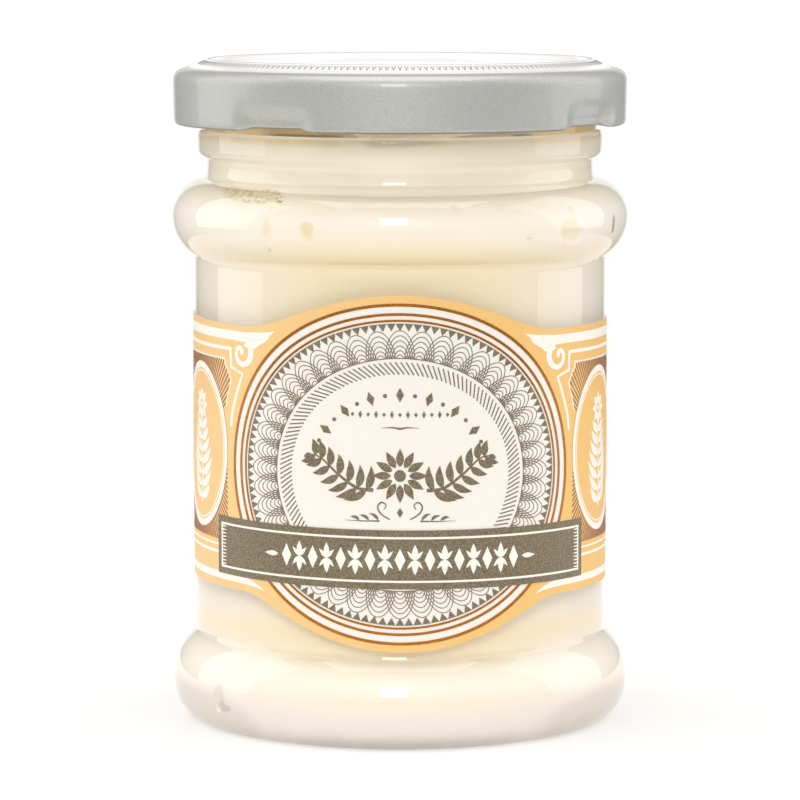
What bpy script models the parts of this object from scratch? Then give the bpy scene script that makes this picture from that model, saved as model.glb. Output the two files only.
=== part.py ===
"""A family jar of mayonnaise: glass jar with two round bulges, its contents,
a pressed twist-off lid with four lugs, and a paper label wrapped round the body.

Metres, +Z up. The jar stands on z = 0 with its axis on the Z axis, and the
label's medallion faces -Y.
"""
import math

import bpy

COLLECTION_NAME = "mayonnaise_jar"

# Clearance kept between pieces that touch on the real jar.
GAP = 0.0003
MERGE_DISTANCE = 0.00001
SMOOTH_ANGLE = math.radians(40.0)

# Glass jar, outside, from the mouth down.
GLASS_SEGMENTS = 56
ROUND_STEPS = 2
BULGE_STEPS = 5
BULGE_LOW_STEPS = 4
HEEL_STEPS = 6
FINISH_TOP_Z = 0.1062
FINISH_RADIUS = 0.0320
FINISH_ROUND = 0.0010
BEAD_RADIUS = 0.0329
BEAD_TOP_Z = 0.0962
BEAD_BOTTOM_Z = 0.0917
BEAD_TOP_ROUND = 0.0008
BEAD_BOTTOM_ROUND = 0.0014
BEAD_TOP_START = 45
BEAD_BOTTOM_END = -75
GROOVE_RADIUS = 0.0314
GROOVE_BOTTOM_Z = 0.0888
BULGE_RADIUS = 0.03717
UPPER_BULGE_Z = 0.0822
UPPER_BULGE_TOP_CURVE = 0.0061
UPPER_BULGE_LOW_CURVE = 0.0074
BODY_RADIUS = 0.0335
LOWER_BULGE_Z = 0.0070
LOWER_BULGE_TOP_CURVE = 0.0093
FILLET_STEP = 0.0006
HEEL_POWER = 2.3
FOOT_OUTER_RADIUS = 0.0320
FOOT_INNER_RADIUS = 0.0292
PUSH_UP_RADIUS = 0.0262
PUSH_UP_EDGE_Z = 0.0010
PUSH_UP_CENTRE_Z = 0.0016

# Glass jar, inside.
WALL = 0.0023
MOUTH_RADIUS = 0.0293
NECK_EASE_RADIUS = 0.0300
FLOOR_EDGE_Z = 0.0028
FLOOR_CENTRE_Z = 0.0040
FLOOR_FLAT_RADIUS = 0.0302
INSIDE_STEPS = 3
CORNER_STEPS = 4

# Contents.
CONTENTS_SEGMENTS = 48
CONTENTS_GAP = 0.00036
CONTENTS_LEVEL_Z = 0.0968
CONTENTS_CROWN = 0.0014
CONTENTS_FOLD = 0.0011
CONTENTS_RIPPLE = 0.00066
CONTENTS_RIM_WAVE = 0.0004
CONTENTS_RINGS = 5

# Pressed lid. Radii and heights of its outer face, then the sheet's thickness.
LID_SEGMENTS = 64
LID_SHEET = 0.0005
LID_PANEL_Z = 0.10635
LID_BUTTON_RADIUS = 0.0208
LID_BUTTON_STEP_RADIUS = 0.0222
LID_BUTTON_STEP_Z = 0.1066
LID_PANEL_EDGE_RADIUS = 0.0291
LID_PANEL_EDGE_Z = 0.1067
LID_RIDGE_INNER_RADIUS = 0.0304
LID_RIDGE_INNER_Z = 0.10745
LID_RIDGE_RADIUS = 0.0311
LID_RIDGE_Z = 0.1076
LID_FLANK_RADIUS = 0.0340
LID_FLANK_Z = 0.1062
LID_SKIRT_TOP_RADIUS = 0.03682
LID_SHOULDER_Z = 0.1040
LID_SHOULDER_POWER = 2.4
LID_SHOULDER_START = 64
LID_SHOULDER_STEPS = 3
LID_SKIRT_LOW_RADIUS = 0.0367
LID_CURL_RADIUS = 0.00072
LID_CURL_START = -45
LID_CURL_END = -225
LID_CURL_STEPS = 4
LID_BOTTOM_Z = 0.0970
LUG_COUNT = 4
LUG_FIRST_AZIMUTH = math.radians(-33.0)
LUG_HALF_WIDTH = math.radians(13.0)
LUG_FLAT_HALF_WIDTH = math.radians(6.5)
LUG_DEPTH = 0.0011
LUG_LIFT = 0.00045
LUG_DENT_TOP_Z = 0.1018

# Paper label: a band round the body with an upright oval medallion in front. It was put on a
# little askew, so it drops towards +X.
LABEL_COLUMNS = 96
LABEL_THICKNESS = 0.00025
LABEL_HALF_ANGLE = math.radians(165.0)
LABEL_BAND_TOP_Z = 0.0659
LABEL_BAND_BOTTOM_Z = 0.0235
MEDALLION_CENTRE_Z = 0.0437
MEDALLION_HALF_HEIGHT = 0.0281
MEDALLION_HALF_WIDTH = 0.0318
LABEL_FILLET = 0.0065
LABEL_TILT = math.radians(0.45)


def clear_scene():
    """Remove whatever objects the scene starts with."""
    for obj in list(bpy.data.objects):
        bpy.data.objects.remove(obj, do_unlink=True)


def new_collection(name):
    """Return a new collection linked to the scene."""
    collection = bpy.data.collections.new(name)
    bpy.context.scene.collection.children.link(collection)
    return collection


def principled(name, colour, roughness, metallic=0.0, transmission=0.0):
    """Return a material with one Principled BSDF."""
    material = bpy.data.materials.new(name)
    material.use_nodes = True
    shader = material.node_tree.nodes["Principled BSDF"]
    shader.inputs["Base Color"].default_value = (*colour, 1.0)
    shader.inputs["Roughness"].default_value = roughness
    shader.inputs["Metallic"].default_value = metallic
    shader.inputs["Transmission Weight"].default_value = transmission
    return material


def arc(centre, radius, start, end, steps):
    """Points of an arc in the (r, z) plane, with its angles in degrees from +r towards +z."""
    points = []
    for index in range(steps + 1):
        angle = math.radians(start + (end - start) * index / steps)
        points.append((centre[0] + radius * math.cos(angle), centre[1] + radius * math.sin(angle)))
    return points


def super_quarter(centre, half_width, half_height, power, start, end, steps):
    """Points of a squarish quarter curve in the (r, z) plane, angles as in arc()."""
    points = []
    for index in range(steps + 1):
        angle = math.radians(start + (end - start) * index / steps)
        across = math.copysign(abs(math.cos(angle)) ** (2.0 / power), math.cos(angle))
        up = math.copysign(abs(math.sin(angle)) ** (2.0 / power), math.sin(angle))
        points.append((centre[0] + half_width * across, centre[1] + half_height * up))
    return points


def angle_where_curve_meets(bulge_radius, curve, wall_radius):
    """Angle in degrees, from the widest point, at which a bulge's arc comes in to a wall."""
    return math.degrees(math.acos((curve - (bulge_radius - wall_radius)) / curve))


def outer_profile():
    """The glass outside, from the mouth's rim down to the centre of the push-up."""
    upper_angle = angle_where_curve_meets(
        BULGE_RADIUS, UPPER_BULGE_LOW_CURVE, BODY_RADIUS + FILLET_STEP / 2)
    lower_angle = angle_where_curve_meets(
        BULGE_RADIUS, LOWER_BULGE_TOP_CURVE, BODY_RADIUS + FILLET_STEP / 2)
    top_angle = angle_where_curve_meets(
        BULGE_RADIUS, UPPER_BULGE_TOP_CURVE, GROOVE_RADIUS + FILLET_STEP)

    finish = arc((FINISH_RADIUS - FINISH_ROUND, FINISH_TOP_Z - FINISH_ROUND),
                 FINISH_ROUND, 90, 0, ROUND_STEPS)
    bead_top = [(FINISH_RADIUS, BEAD_TOP_Z)]
    bead_top += arc((BEAD_RADIUS - BEAD_TOP_ROUND, BEAD_TOP_Z - BEAD_TOP_ROUND),
                    BEAD_TOP_ROUND, BEAD_TOP_START, 0, 1)
    bead_bottom = arc((BEAD_RADIUS - BEAD_BOTTOM_ROUND, BEAD_BOTTOM_Z + BEAD_BOTTOM_ROUND),
                      BEAD_BOTTOM_ROUND, 0, BEAD_BOTTOM_END, ROUND_STEPS)
    groove = [(GROOVE_RADIUS, BEAD_BOTTOM_Z - FILLET_STEP / 2),
              (GROOVE_RADIUS, GROOVE_BOTTOM_Z)]
    upper_bulge = arc((BULGE_RADIUS - UPPER_BULGE_TOP_CURVE, UPPER_BULGE_Z),
                      UPPER_BULGE_TOP_CURVE, top_angle, 0, BULGE_STEPS)
    upper_bulge += arc((BULGE_RADIUS - UPPER_BULGE_LOW_CURVE, UPPER_BULGE_Z),
                       UPPER_BULGE_LOW_CURVE, 0, -upper_angle, BULGE_LOW_STEPS)[1:]
    body_top_z = upper_bulge[-1][1] - FILLET_STEP
    lower_bulge = arc((BULGE_RADIUS - LOWER_BULGE_TOP_CURVE, LOWER_BULGE_Z),
                      LOWER_BULGE_TOP_CURVE, lower_angle, 0, BULGE_LOW_STEPS)
    body = [(BODY_RADIUS, body_top_z), (BODY_RADIUS, lower_bulge[0][1] + FILLET_STEP)]
    heel = super_quarter((FOOT_OUTER_RADIUS, LOWER_BULGE_Z), BULGE_RADIUS - FOOT_OUTER_RADIUS,
                         LOWER_BULGE_Z, HEEL_POWER, 0, -90, HEEL_STEPS)[1:]
    base = [(FOOT_INNER_RADIUS, 0.0),
            (PUSH_UP_RADIUS, PUSH_UP_EDGE_Z),
            (0.0, PUSH_UP_CENTRE_Z)]
    return finish + bead_top + bead_bottom + groove + upper_bulge + body + lower_bulge + heel + base


def inner_profile():
    """The glass inside, from the centre of the floor up to the mouth's rim."""
    inner_bulge = BULGE_RADIUS - WALL
    inner_body = BODY_RADIUS - WALL
    top_curve = UPPER_BULGE_TOP_CURVE - WALL
    low_curve = UPPER_BULGE_LOW_CURVE - WALL
    lower_curve = LOWER_BULGE_TOP_CURVE - WALL
    top_angle = angle_where_curve_meets(inner_bulge, top_curve, MOUTH_RADIUS + WALL)
    upper_angle = angle_where_curve_meets(inner_bulge, low_curve, inner_body + FILLET_STEP)
    lower_angle = angle_where_curve_meets(inner_bulge, lower_curve, inner_body + FILLET_STEP)

    floor = [(0.0, FLOOR_CENTRE_Z), (FLOOR_FLAT_RADIUS, FLOOR_EDGE_Z)]
    corner = super_quarter((FLOOR_FLAT_RADIUS, LOWER_BULGE_Z + FILLET_STEP),
                           inner_bulge - FLOOR_FLAT_RADIUS,
                           LOWER_BULGE_Z + FILLET_STEP - FLOOR_EDGE_Z,
                           HEEL_POWER, -90, 0, CORNER_STEPS)[1:]
    lower_bulge = arc((inner_bulge - lower_curve, LOWER_BULGE_Z + FILLET_STEP),
                      lower_curve, 0, lower_angle, INSIDE_STEPS)[1:]
    upper_bulge = arc((inner_bulge - low_curve, UPPER_BULGE_Z),
                      low_curve, -upper_angle, 0, INSIDE_STEPS)
    upper_bulge += arc((inner_bulge - top_curve, UPPER_BULGE_Z),
                       top_curve, 0, top_angle, INSIDE_STEPS)[1:]
    body = [(inner_body, lower_bulge[-1][1] + FILLET_STEP * 2),
            (inner_body, upper_bulge[0][1] - FILLET_STEP * 2)]
    neck = [(NECK_EASE_RADIUS, GROOVE_BOTTOM_Z - FILLET_STEP),
            (MOUTH_RADIUS, GROOVE_BOTTOM_Z + FILLET_STEP * 3)]
    rim = arc((MOUTH_RADIUS + FINISH_ROUND, FINISH_TOP_Z - FINISH_ROUND),
              FINISH_ROUND, 180, 90, 1)
    return floor + corner + lower_bulge + body + upper_bulge + neck + rim


def moved_inwards(points, distance):
    """A polyline of (r, z) points moved to its left by a distance, point by point."""
    moved = []
    for index, (radius, height) in enumerate(points):
        before = points[max(index - 1, 0)]
        after = points[min(index + 1, len(points) - 1)]
        along = (after[0] - before[0], after[1] - before[1])
        length = math.hypot(*along)
        left = (-along[1] / length, along[0] / length)
        moved.append((radius + left[0] * distance, height + left[1] * distance))
    return moved


def turned(name, profile, segments, material, collection):
    """Turn a profile of (r, z) points round the Z axis."""
    mesh = bpy.data.meshes.new(name)
    verts = [(radius, 0.0, height) for radius, height in profile]
    edges = [(index, index + 1) for index in range(len(profile) - 1)]
    mesh.from_pydata(verts, edges, [])
    obj = bpy.data.objects.new(name, mesh)
    collection.objects.link(obj)
    screw = obj.modifiers.new("turn", "SCREW")
    screw.axis = "Z"
    screw.angle = math.tau
    screw.steps = segments
    screw.render_steps = segments
    screw.use_merge_vertices = True
    screw.merge_threshold = MERGE_DISTANCE
    screw.use_smooth_shade = True
    mesh.materials.append(material)
    return obj


def made_real(obj):
    """Replace an object's mesh by its evaluated mesh and drop the modifiers."""
    bpy.context.view_layer.update()
    depsgraph = bpy.context.evaluated_depsgraph_get()
    mesh = bpy.data.meshes.new_from_object(obj.evaluated_get(depsgraph))
    old = obj.data
    obj.modifiers.clear()
    obj.data = mesh
    bpy.data.meshes.remove(old)
    mesh.name = obj.name


def shade_round(obj):
    """Shade a piece smooth and keep its crisp edges."""
    obj.data.shade_smooth()
    obj.data.set_sharp_from_angle(angle=SMOOTH_ANGLE)


def smooth_step(value):
    """Ease from 0 to 1 with level ends."""
    value = min(max(value, 0.0), 1.0)
    return value * value * (3.0 - 2.0 * value)


def make_glass(collection):
    """The jar: inside up, over the rim and down the outside."""
    material = principled("clear_glass", (0.96, 0.97, 0.96), 0.03, transmission=1.0)
    profile = inner_profile() + outer_profile()
    obj = turned("jar_glass", profile, GLASS_SEGMENTS, material, collection)
    made_real(obj)
    shade_round(obj)


def contents_profile():
    """The outline of the mayonnaise: its top from the centre out, then down the glass."""
    wall = [point for point in moved_inwards(inner_profile(), CONTENTS_GAP)
            if point[1] < CONTENTS_LEVEL_Z - FILLET_STEP]
    wall[0] = (0.0, wall[0][1])
    wall.reverse()
    edge_radius = MOUTH_RADIUS - CONTENTS_GAP
    top = [(edge_radius * index / CONTENTS_RINGS, CONTENTS_LEVEL_Z)
           for index in range(CONTENTS_RINGS + 1)]
    return top + wall


def contents_height(x, y):
    """Height of the mayonnaise's folded top above its level at the glass."""
    reach = min(math.hypot(x, y) / MOUTH_RADIUS, 1.0)
    azimuth = math.atan2(y, x)
    inside = 1.0 - reach ** 4
    crown = CONTENTS_CROWN * (1.0 - reach * reach)
    fold = CONTENTS_FOLD * reach * inside * math.sin(2.0 * azimuth + 5.0 * reach)
    ripple = CONTENTS_RIPPLE * reach * reach * inside * math.cos(5.0 * azimuth - 4.0 * reach)
    rim = CONTENTS_RIM_WAVE * reach ** 3 * math.sin(3.0 * azimuth + 0.8)
    return crown + fold + ripple + rim


def make_contents(collection):
    """The mayonnaise, up to the level that shows through the neck."""
    material = principled("mayonnaise", (0.93, 0.86, 0.66), 0.45)
    obj = turned("mayonnaise", contents_profile(), CONTENTS_SEGMENTS, material, collection)
    made_real(obj)
    for vertex in obj.data.vertices:
        if vertex.co.z > CONTENTS_LEVEL_Z - MERGE_DISTANCE:
            vertex.co.z += contents_height(vertex.co.x, vertex.co.y)
    shade_round(obj)


def lid_outside():
    """The lid's outer face, from the centre of the panel to the foot of the skirt."""
    panel = [(0.0, LID_PANEL_Z),
             (LID_BUTTON_RADIUS, LID_PANEL_Z),
             (LID_BUTTON_STEP_RADIUS, LID_BUTTON_STEP_Z),
             (LID_PANEL_EDGE_RADIUS, LID_PANEL_EDGE_Z)]
    ridge = [(LID_RIDGE_INNER_RADIUS, LID_RIDGE_INNER_Z),
             (LID_RIDGE_RADIUS, LID_RIDGE_Z)]
    flank = [(LID_FLANK_RADIUS, LID_FLANK_Z)]
    shoulder = super_quarter((LID_FLANK_RADIUS, LID_SHOULDER_Z),
                             LID_SKIRT_TOP_RADIUS - LID_FLANK_RADIUS,
                             LID_FLANK_Z - LID_SHOULDER_Z,
                             LID_SHOULDER_POWER, LID_SHOULDER_START, 0, LID_SHOULDER_STEPS)
    skirt = [(LID_SKIRT_LOW_RADIUS, LID_BOTTOM_Z + LID_CURL_RADIUS)]
    return panel + ridge + flank + shoulder + skirt


def lid_profile():
    """The whole section of the lid: outer face, rolled foot, inner face."""
    outside = lid_outside()
    curl = arc((LID_SKIRT_LOW_RADIUS - LID_CURL_RADIUS, LID_BOTTOM_Z + LID_CURL_RADIUS),
               LID_CURL_RADIUS, LID_CURL_START, LID_CURL_END, LID_CURL_STEPS)
    inside = moved_inwards(outside[:-1], -LID_SHEET)
    inside[0] = (0.0, inside[0][1])
    inside.append((LID_SKIRT_LOW_RADIUS - LID_SHEET, LID_BOTTOM_Z + LID_CURL_RADIUS * 2.0))
    inside.reverse()
    return outside + curl + inside


def lug_share(azimuth):
    """How far, from 0 to 1, the skirt's foot is pressed in at an azimuth."""
    pitch = math.tau / LUG_COUNT
    offset = (azimuth - LUG_FIRST_AZIMUTH + pitch / 2.0) % pitch - pitch / 2.0
    return smooth_step((LUG_HALF_WIDTH - abs(offset)) / (LUG_HALF_WIDTH - LUG_FLAT_HALF_WIDTH))


def press_lugs(obj):
    """Press the skirt's foot inwards and up at each lug. Azimuth 0 is the front, -Y."""
    foot_z = LID_BOTTOM_Z + LID_CURL_RADIUS * 2.0
    for vertex in obj.data.vertices:
        if vertex.co.z > LUG_DENT_TOP_Z:
            continue
        radius = math.hypot(vertex.co.x, vertex.co.y)
        share = lug_share(math.atan2(vertex.co.x, -vertex.co.y))
        depth = smooth_step((LUG_DENT_TOP_Z - vertex.co.z) / (LUG_DENT_TOP_Z - foot_z))
        scale = (radius - LUG_DEPTH * share * depth) / radius
        vertex.co.x *= scale
        vertex.co.y *= scale
        if vertex.co.z < foot_z + MERGE_DISTANCE:
            vertex.co.z += LUG_LIFT * share


def make_lid(collection):
    """The pressed lid, which rests on the jar's mouth."""
    material = principled("silver_lacquer", (0.52, 0.52, 0.49), 0.35, metallic=0.8)
    obj = turned("lid", lid_profile(), LID_SEGMENTS, material, collection)
    made_real(obj)
    press_lugs(obj)
    shade_round(obj)


def label_edge(arc_length, band):
    """Distance of the label's edge from the medallion's centre line at an arc length."""
    reach = min(abs(arc_length) / MEDALLION_HALF_WIDTH, 1.0)
    oval = MEDALLION_HALF_HEIGHT * math.sqrt(1.0 - reach * reach)
    near = max(LABEL_FILLET - abs(oval - band), 0.0) / LABEL_FILLET
    return max(oval, band) + near * near * LABEL_FILLET / 4.0


def make_label(collection):
    """The label: a sheet cut to the outline of band and medallion, bent round the body."""
    material = principled("printed_paper", (0.90, 0.72, 0.45), 0.45)
    radius = BODY_RADIUS + GAP
    bpy.ops.mesh.primitive_grid_add(x_subdivisions=LABEL_COLUMNS, y_subdivisions=1, size=2.0)
    obj = bpy.context.active_object
    obj.name = "label"
    obj.data.name = "label"
    for owner in list(obj.users_collection):
        owner.objects.unlink(obj)
    collection.objects.link(obj)
    for vertex in obj.data.vertices:
        azimuth = vertex.co.x * LABEL_HALF_ANGLE
        above = label_edge(azimuth * radius, LABEL_BAND_TOP_Z - MEDALLION_CENTRE_Z)
        below = label_edge(azimuth * radius, MEDALLION_CENTRE_Z - LABEL_BAND_BOTTOM_Z)
        height = MEDALLION_CENTRE_Z + (above if vertex.co.y > 0.0 else -below)
        height -= azimuth * radius * math.tan(LABEL_TILT)
        vertex.co = (radius * math.sin(azimuth), -radius * math.cos(azimuth), height)
    sheet = obj.modifiers.new("sheet", "SOLIDIFY")
    sheet.thickness = LABEL_THICKNESS
    sheet.offset = 1.0
    obj.data.materials.append(material)
    made_real(obj)
    shade_round(obj)


def main():
    """Build the jar, its contents, its lid and its label."""
    clear_scene()
    collection = new_collection(COLLECTION_NAME)
    make_glass(collection)
    make_contents(collection)
    make_lid(collection)
    make_label(collection)


main()
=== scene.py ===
"""A shut glass jar of mayonnaise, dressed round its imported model.

Lengths are in metres in the part's own frame: +Z up, the front of the jar towards -Y, and
azimuths measured from the front towards +X. The label's artwork alone is drawn in
millimetres, as arc length to the right of the front and height above the base.
"""

import logging
import math
from collections.abc import Callable, Sequence
from dataclasses import dataclass, field
from enum import Enum

import bpy
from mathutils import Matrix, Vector


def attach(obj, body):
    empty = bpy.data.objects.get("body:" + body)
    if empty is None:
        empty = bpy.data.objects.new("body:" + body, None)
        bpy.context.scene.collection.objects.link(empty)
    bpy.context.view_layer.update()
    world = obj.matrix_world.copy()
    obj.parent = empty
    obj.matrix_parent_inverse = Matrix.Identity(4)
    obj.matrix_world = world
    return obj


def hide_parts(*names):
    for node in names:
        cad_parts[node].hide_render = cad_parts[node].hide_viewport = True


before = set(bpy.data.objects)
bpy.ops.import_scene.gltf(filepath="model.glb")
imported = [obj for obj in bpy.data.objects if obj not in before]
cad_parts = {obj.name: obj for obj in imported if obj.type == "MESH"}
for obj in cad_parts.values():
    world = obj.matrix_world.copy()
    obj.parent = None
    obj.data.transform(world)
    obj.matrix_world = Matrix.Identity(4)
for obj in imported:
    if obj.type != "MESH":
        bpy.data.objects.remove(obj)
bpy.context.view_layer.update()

BODY = "root"
MM = 0.001
TINY = 1e-7
SIDES = (-1.0, 1.0)
AREA_LIGHT_POWER = 4.0

Point = tuple[float, float]
Colour = tuple[float, float, float]

log = logging.getLogger("jar")


class Slot(Enum):
    """The record's material slots."""

    GLASS = "clear_glass"
    CONTENTS = "mayonnaise"
    LID = "lid_lacquer"
    LABEL = "label_paper"


# Shader nodes


class Wire:
    """A socket that Python's arithmetic works on, by adding Math nodes."""

    def __init__(self, board: "Board", socket: bpy.types.NodeSocket) -> None:
        """Keep the socket and the board that new nodes go on."""
        self.board = board
        self.socket = socket

    def __add__(self, other: "Wire | float") -> "Wire":
        """Add."""
        return self.board.maths("ADD", self, other)

    def __radd__(self, other: float) -> "Wire":
        """Add, with the number in front."""
        return self.board.maths("ADD", other, self)

    def __sub__(self, other: "Wire | float") -> "Wire":
        """Subtract."""
        return self.board.maths("SUBTRACT", self, other)

    def __rsub__(self, other: float) -> "Wire":
        """Subtract from a number."""
        return self.board.maths("SUBTRACT", other, self)

    def __mul__(self, other: "Wire | float") -> "Wire":
        """Multiply."""
        return self.board.maths("MULTIPLY", self, other)

    def __rmul__(self, other: float) -> "Wire":
        """Multiply, with the number in front."""
        return self.board.maths("MULTIPLY", other, self)

    def __truediv__(self, other: "Wire | float") -> "Wire":
        """Divide."""
        return self.board.maths("DIVIDE", self, other)

    def __pow__(self, other: "Wire | float") -> "Wire":
        """Raise to a power."""
        return self.board.maths("POWER", self, other)


Input = Wire | float | Sequence[float]


class Board:
    """The node tree of one material, or of the world."""

    def __init__(self, name: str, world: bool = False) -> None:
        """Start a tree.

        Args:
            name: The name of the material or world.
            world: Whether it is a world, which ends in a Background and varies by direction.
        """
        self.owner = (bpy.data.worlds if world else bpy.data.materials).new(name)
        self.owner.use_nodes = True
        self.tree = self.owner.node_tree
        self.shader = self.tree.nodes["Background" if world else "Principled BSDF"]
        place = "Generated" if world else "Object"
        self.place = Wire(self, self.node("ShaderNodeTexCoord").outputs[place])

    def node(self, kind: str, settings: dict[str, object] | None = None,
             sockets: dict[str | int, Input] | None = None) -> bpy.types.Node:
        """Add any node.

        Args:
            kind: The node's type.
            settings: Its properties, set first.
            sockets: The value or link of each input, by name or number.

        Returns:
            The new node.
        """
        node = self.tree.nodes.new(kind)
        for name, value in (settings or {}).items():
            setattr(node, name, value)
        for key, value in (sockets or {}).items():
            self.feed(node.inputs[key], value)
        return node

    def feed(self, socket: bpy.types.NodeSocket, value: Input) -> None:
        """Link a wire to a socket, or set the socket's value.

        Args:
            socket: The input.
            value: A wire, a number or a vector.
        """
        if isinstance(value, Wire):
            self.tree.links.new(value.socket, socket)
        else:
            socket.default_value = value

    def maths(self, operation: str, first: Wire | float, second: Wire | float = 0.0) -> Wire:
        """Add a Math node.

        Args:
            operation: The node's operation.
            first: Its first value.
            second: Its second value.

        Returns:
            The result.
        """
        node = self.node("ShaderNodeMath", {"operation": operation}, {0: first, 1: second})
        return Wire(self, node.outputs[0])

    def eased(self, value: Wire, low: float, high: float) -> Wire:
        """Turn a value into a soft step.

        Args:
            value: What is compared.
            low: Where the step starts, at 0.
            high: Where it ends, at 1.

        Returns:
            The step.
        """
        node = self.node("ShaderNodeMapRange", {"interpolation_type": "SMOOTHSTEP"},
                         {"Value": value, "From Min": low, "From Max": high})
        return Wire(self, node.outputs["Result"])

    def mix(self, share: Wire | float, first: Input, second: Input) -> Wire:
        """Mix two colours.

        Args:
            share: How much of the second one there is.
            first: A colour or a wire.
            second: A colour or a wire.

        Returns:
            The mixed colour.
        """
        ends = [value if isinstance(value, Wire) else (*value, 1.0) for value in (first, second)]
        node = self.node("ShaderNodeMix", {"data_type": "RGBA"},
                         {"Factor": share, 6: ends[0], 7: ends[1]})
        return Wire(self, node.outputs[2])

    def noise(self, size: float, detail: float = 2.0, stretch: Colour = (1.0, 1.0, 1.0)) -> Wire:
        """Add soft noise over the piece.

        Args:
            size: The width of a blot, in metres.
            detail: How many finer layers there are.
            stretch: How many times longer the blots are along each axis.

        Returns:
            The noise, from 0 to 1.
        """
        scaled = self.node("ShaderNodeVectorMath", {"operation": "DIVIDE"},
                           {0: self.place, 1: stretch})
        node = self.node("ShaderNodeTexNoise", None,
                         {"Vector": Wire(self, scaled.outputs[0]), "Scale": 1.0 / size,
                          "Detail": detail})
        return Wire(self, node.outputs["Fac"])

    def axes(self) -> tuple[Wire, Wire, Wire]:
        """Split the place on the piece into x, y and z."""
        node = self.node("ShaderNodeSeparateXYZ", None, {0: self.place})
        return tuple(Wire(self, socket) for socket in node.outputs)

    def relief(self, height: Wire, depth: float) -> None:
        """Bump the surface.

        Args:
            height: The relief, from 0 to 1.
            depth: Its depth in metres.
        """
        node = self.node("ShaderNodeBump", None,
                         {"Height": height, "Distance": depth, "Strength": 1.0})
        self.feed(self.shader.inputs["Normal"], Wire(self, node.outputs["Normal"]))

    def set(self, **values: Input) -> None:
        """Set or link the shader's sockets.

        Args:
            values: Each socket's value or wire, by its name with underscores.
        """
        for name, value in values.items():
            socket = self.shader.inputs[name.replace("_", " ")]
            is_colour = socket.type == "RGBA" and not isinstance(value, Wire)
            self.feed(socket, (*value, 1.0) if is_colour else value)

    def pass_light(self) -> None:
        """Let lamps and soft light straight through, so that what lies behind is well lit."""
        rays = self.node("ShaderNodeLightPath").outputs
        clear = Wire(self, self.node("ShaderNodeBsdfTransparent").outputs[0])
        surface = Wire(self, self.shader.outputs[0])
        for name in ("Is Shadow Ray", "Is Diffuse Ray"):
            mixer = self.node("ShaderNodeMixShader", None,
                              {0: Wire(self, rays[name]), 1: surface, 2: clear})
            surface = Wire(self, mixer.outputs[0])
        self.feed(self.tree.nodes["Material Output"].inputs["Surface"], surface)


# Finishes


@dataclass(frozen=True)
class ClearGlass:
    """Flint glass with the faint waves of a blown jar."""

    tint: Colour = (0.992, 0.996, 0.992)
    refraction: float = 1.5
    wave_width: float = 0.016
    wave_depth: float = 0.00003

    def material(self) -> bpy.types.Material:
        """Make the material.

        Returns:
            The material.
        """
        board = Board("clear_glass")
        board.set(Base_Color=self.tint, Roughness=0.0, IOR=self.refraction,
                  Transmission_Weight=1.0)
        board.relief(board.noise(self.wave_width, 1.0, (1.0, 1.0, 2.0)), self.wave_depth)
        board.pass_light()
        return board.owner


@dataclass(frozen=True)
class ShadeSpot:
    """A spot of painted shade, or of painted reflection where it is bluish, on the front of the
    mayonnaise, with its half sizes across and up.
    """

    across: float
    height: float
    half_across: float
    half_height: float
    colour: Colour
    strength: float = 0.8
    speckle: float = 0.0


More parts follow.
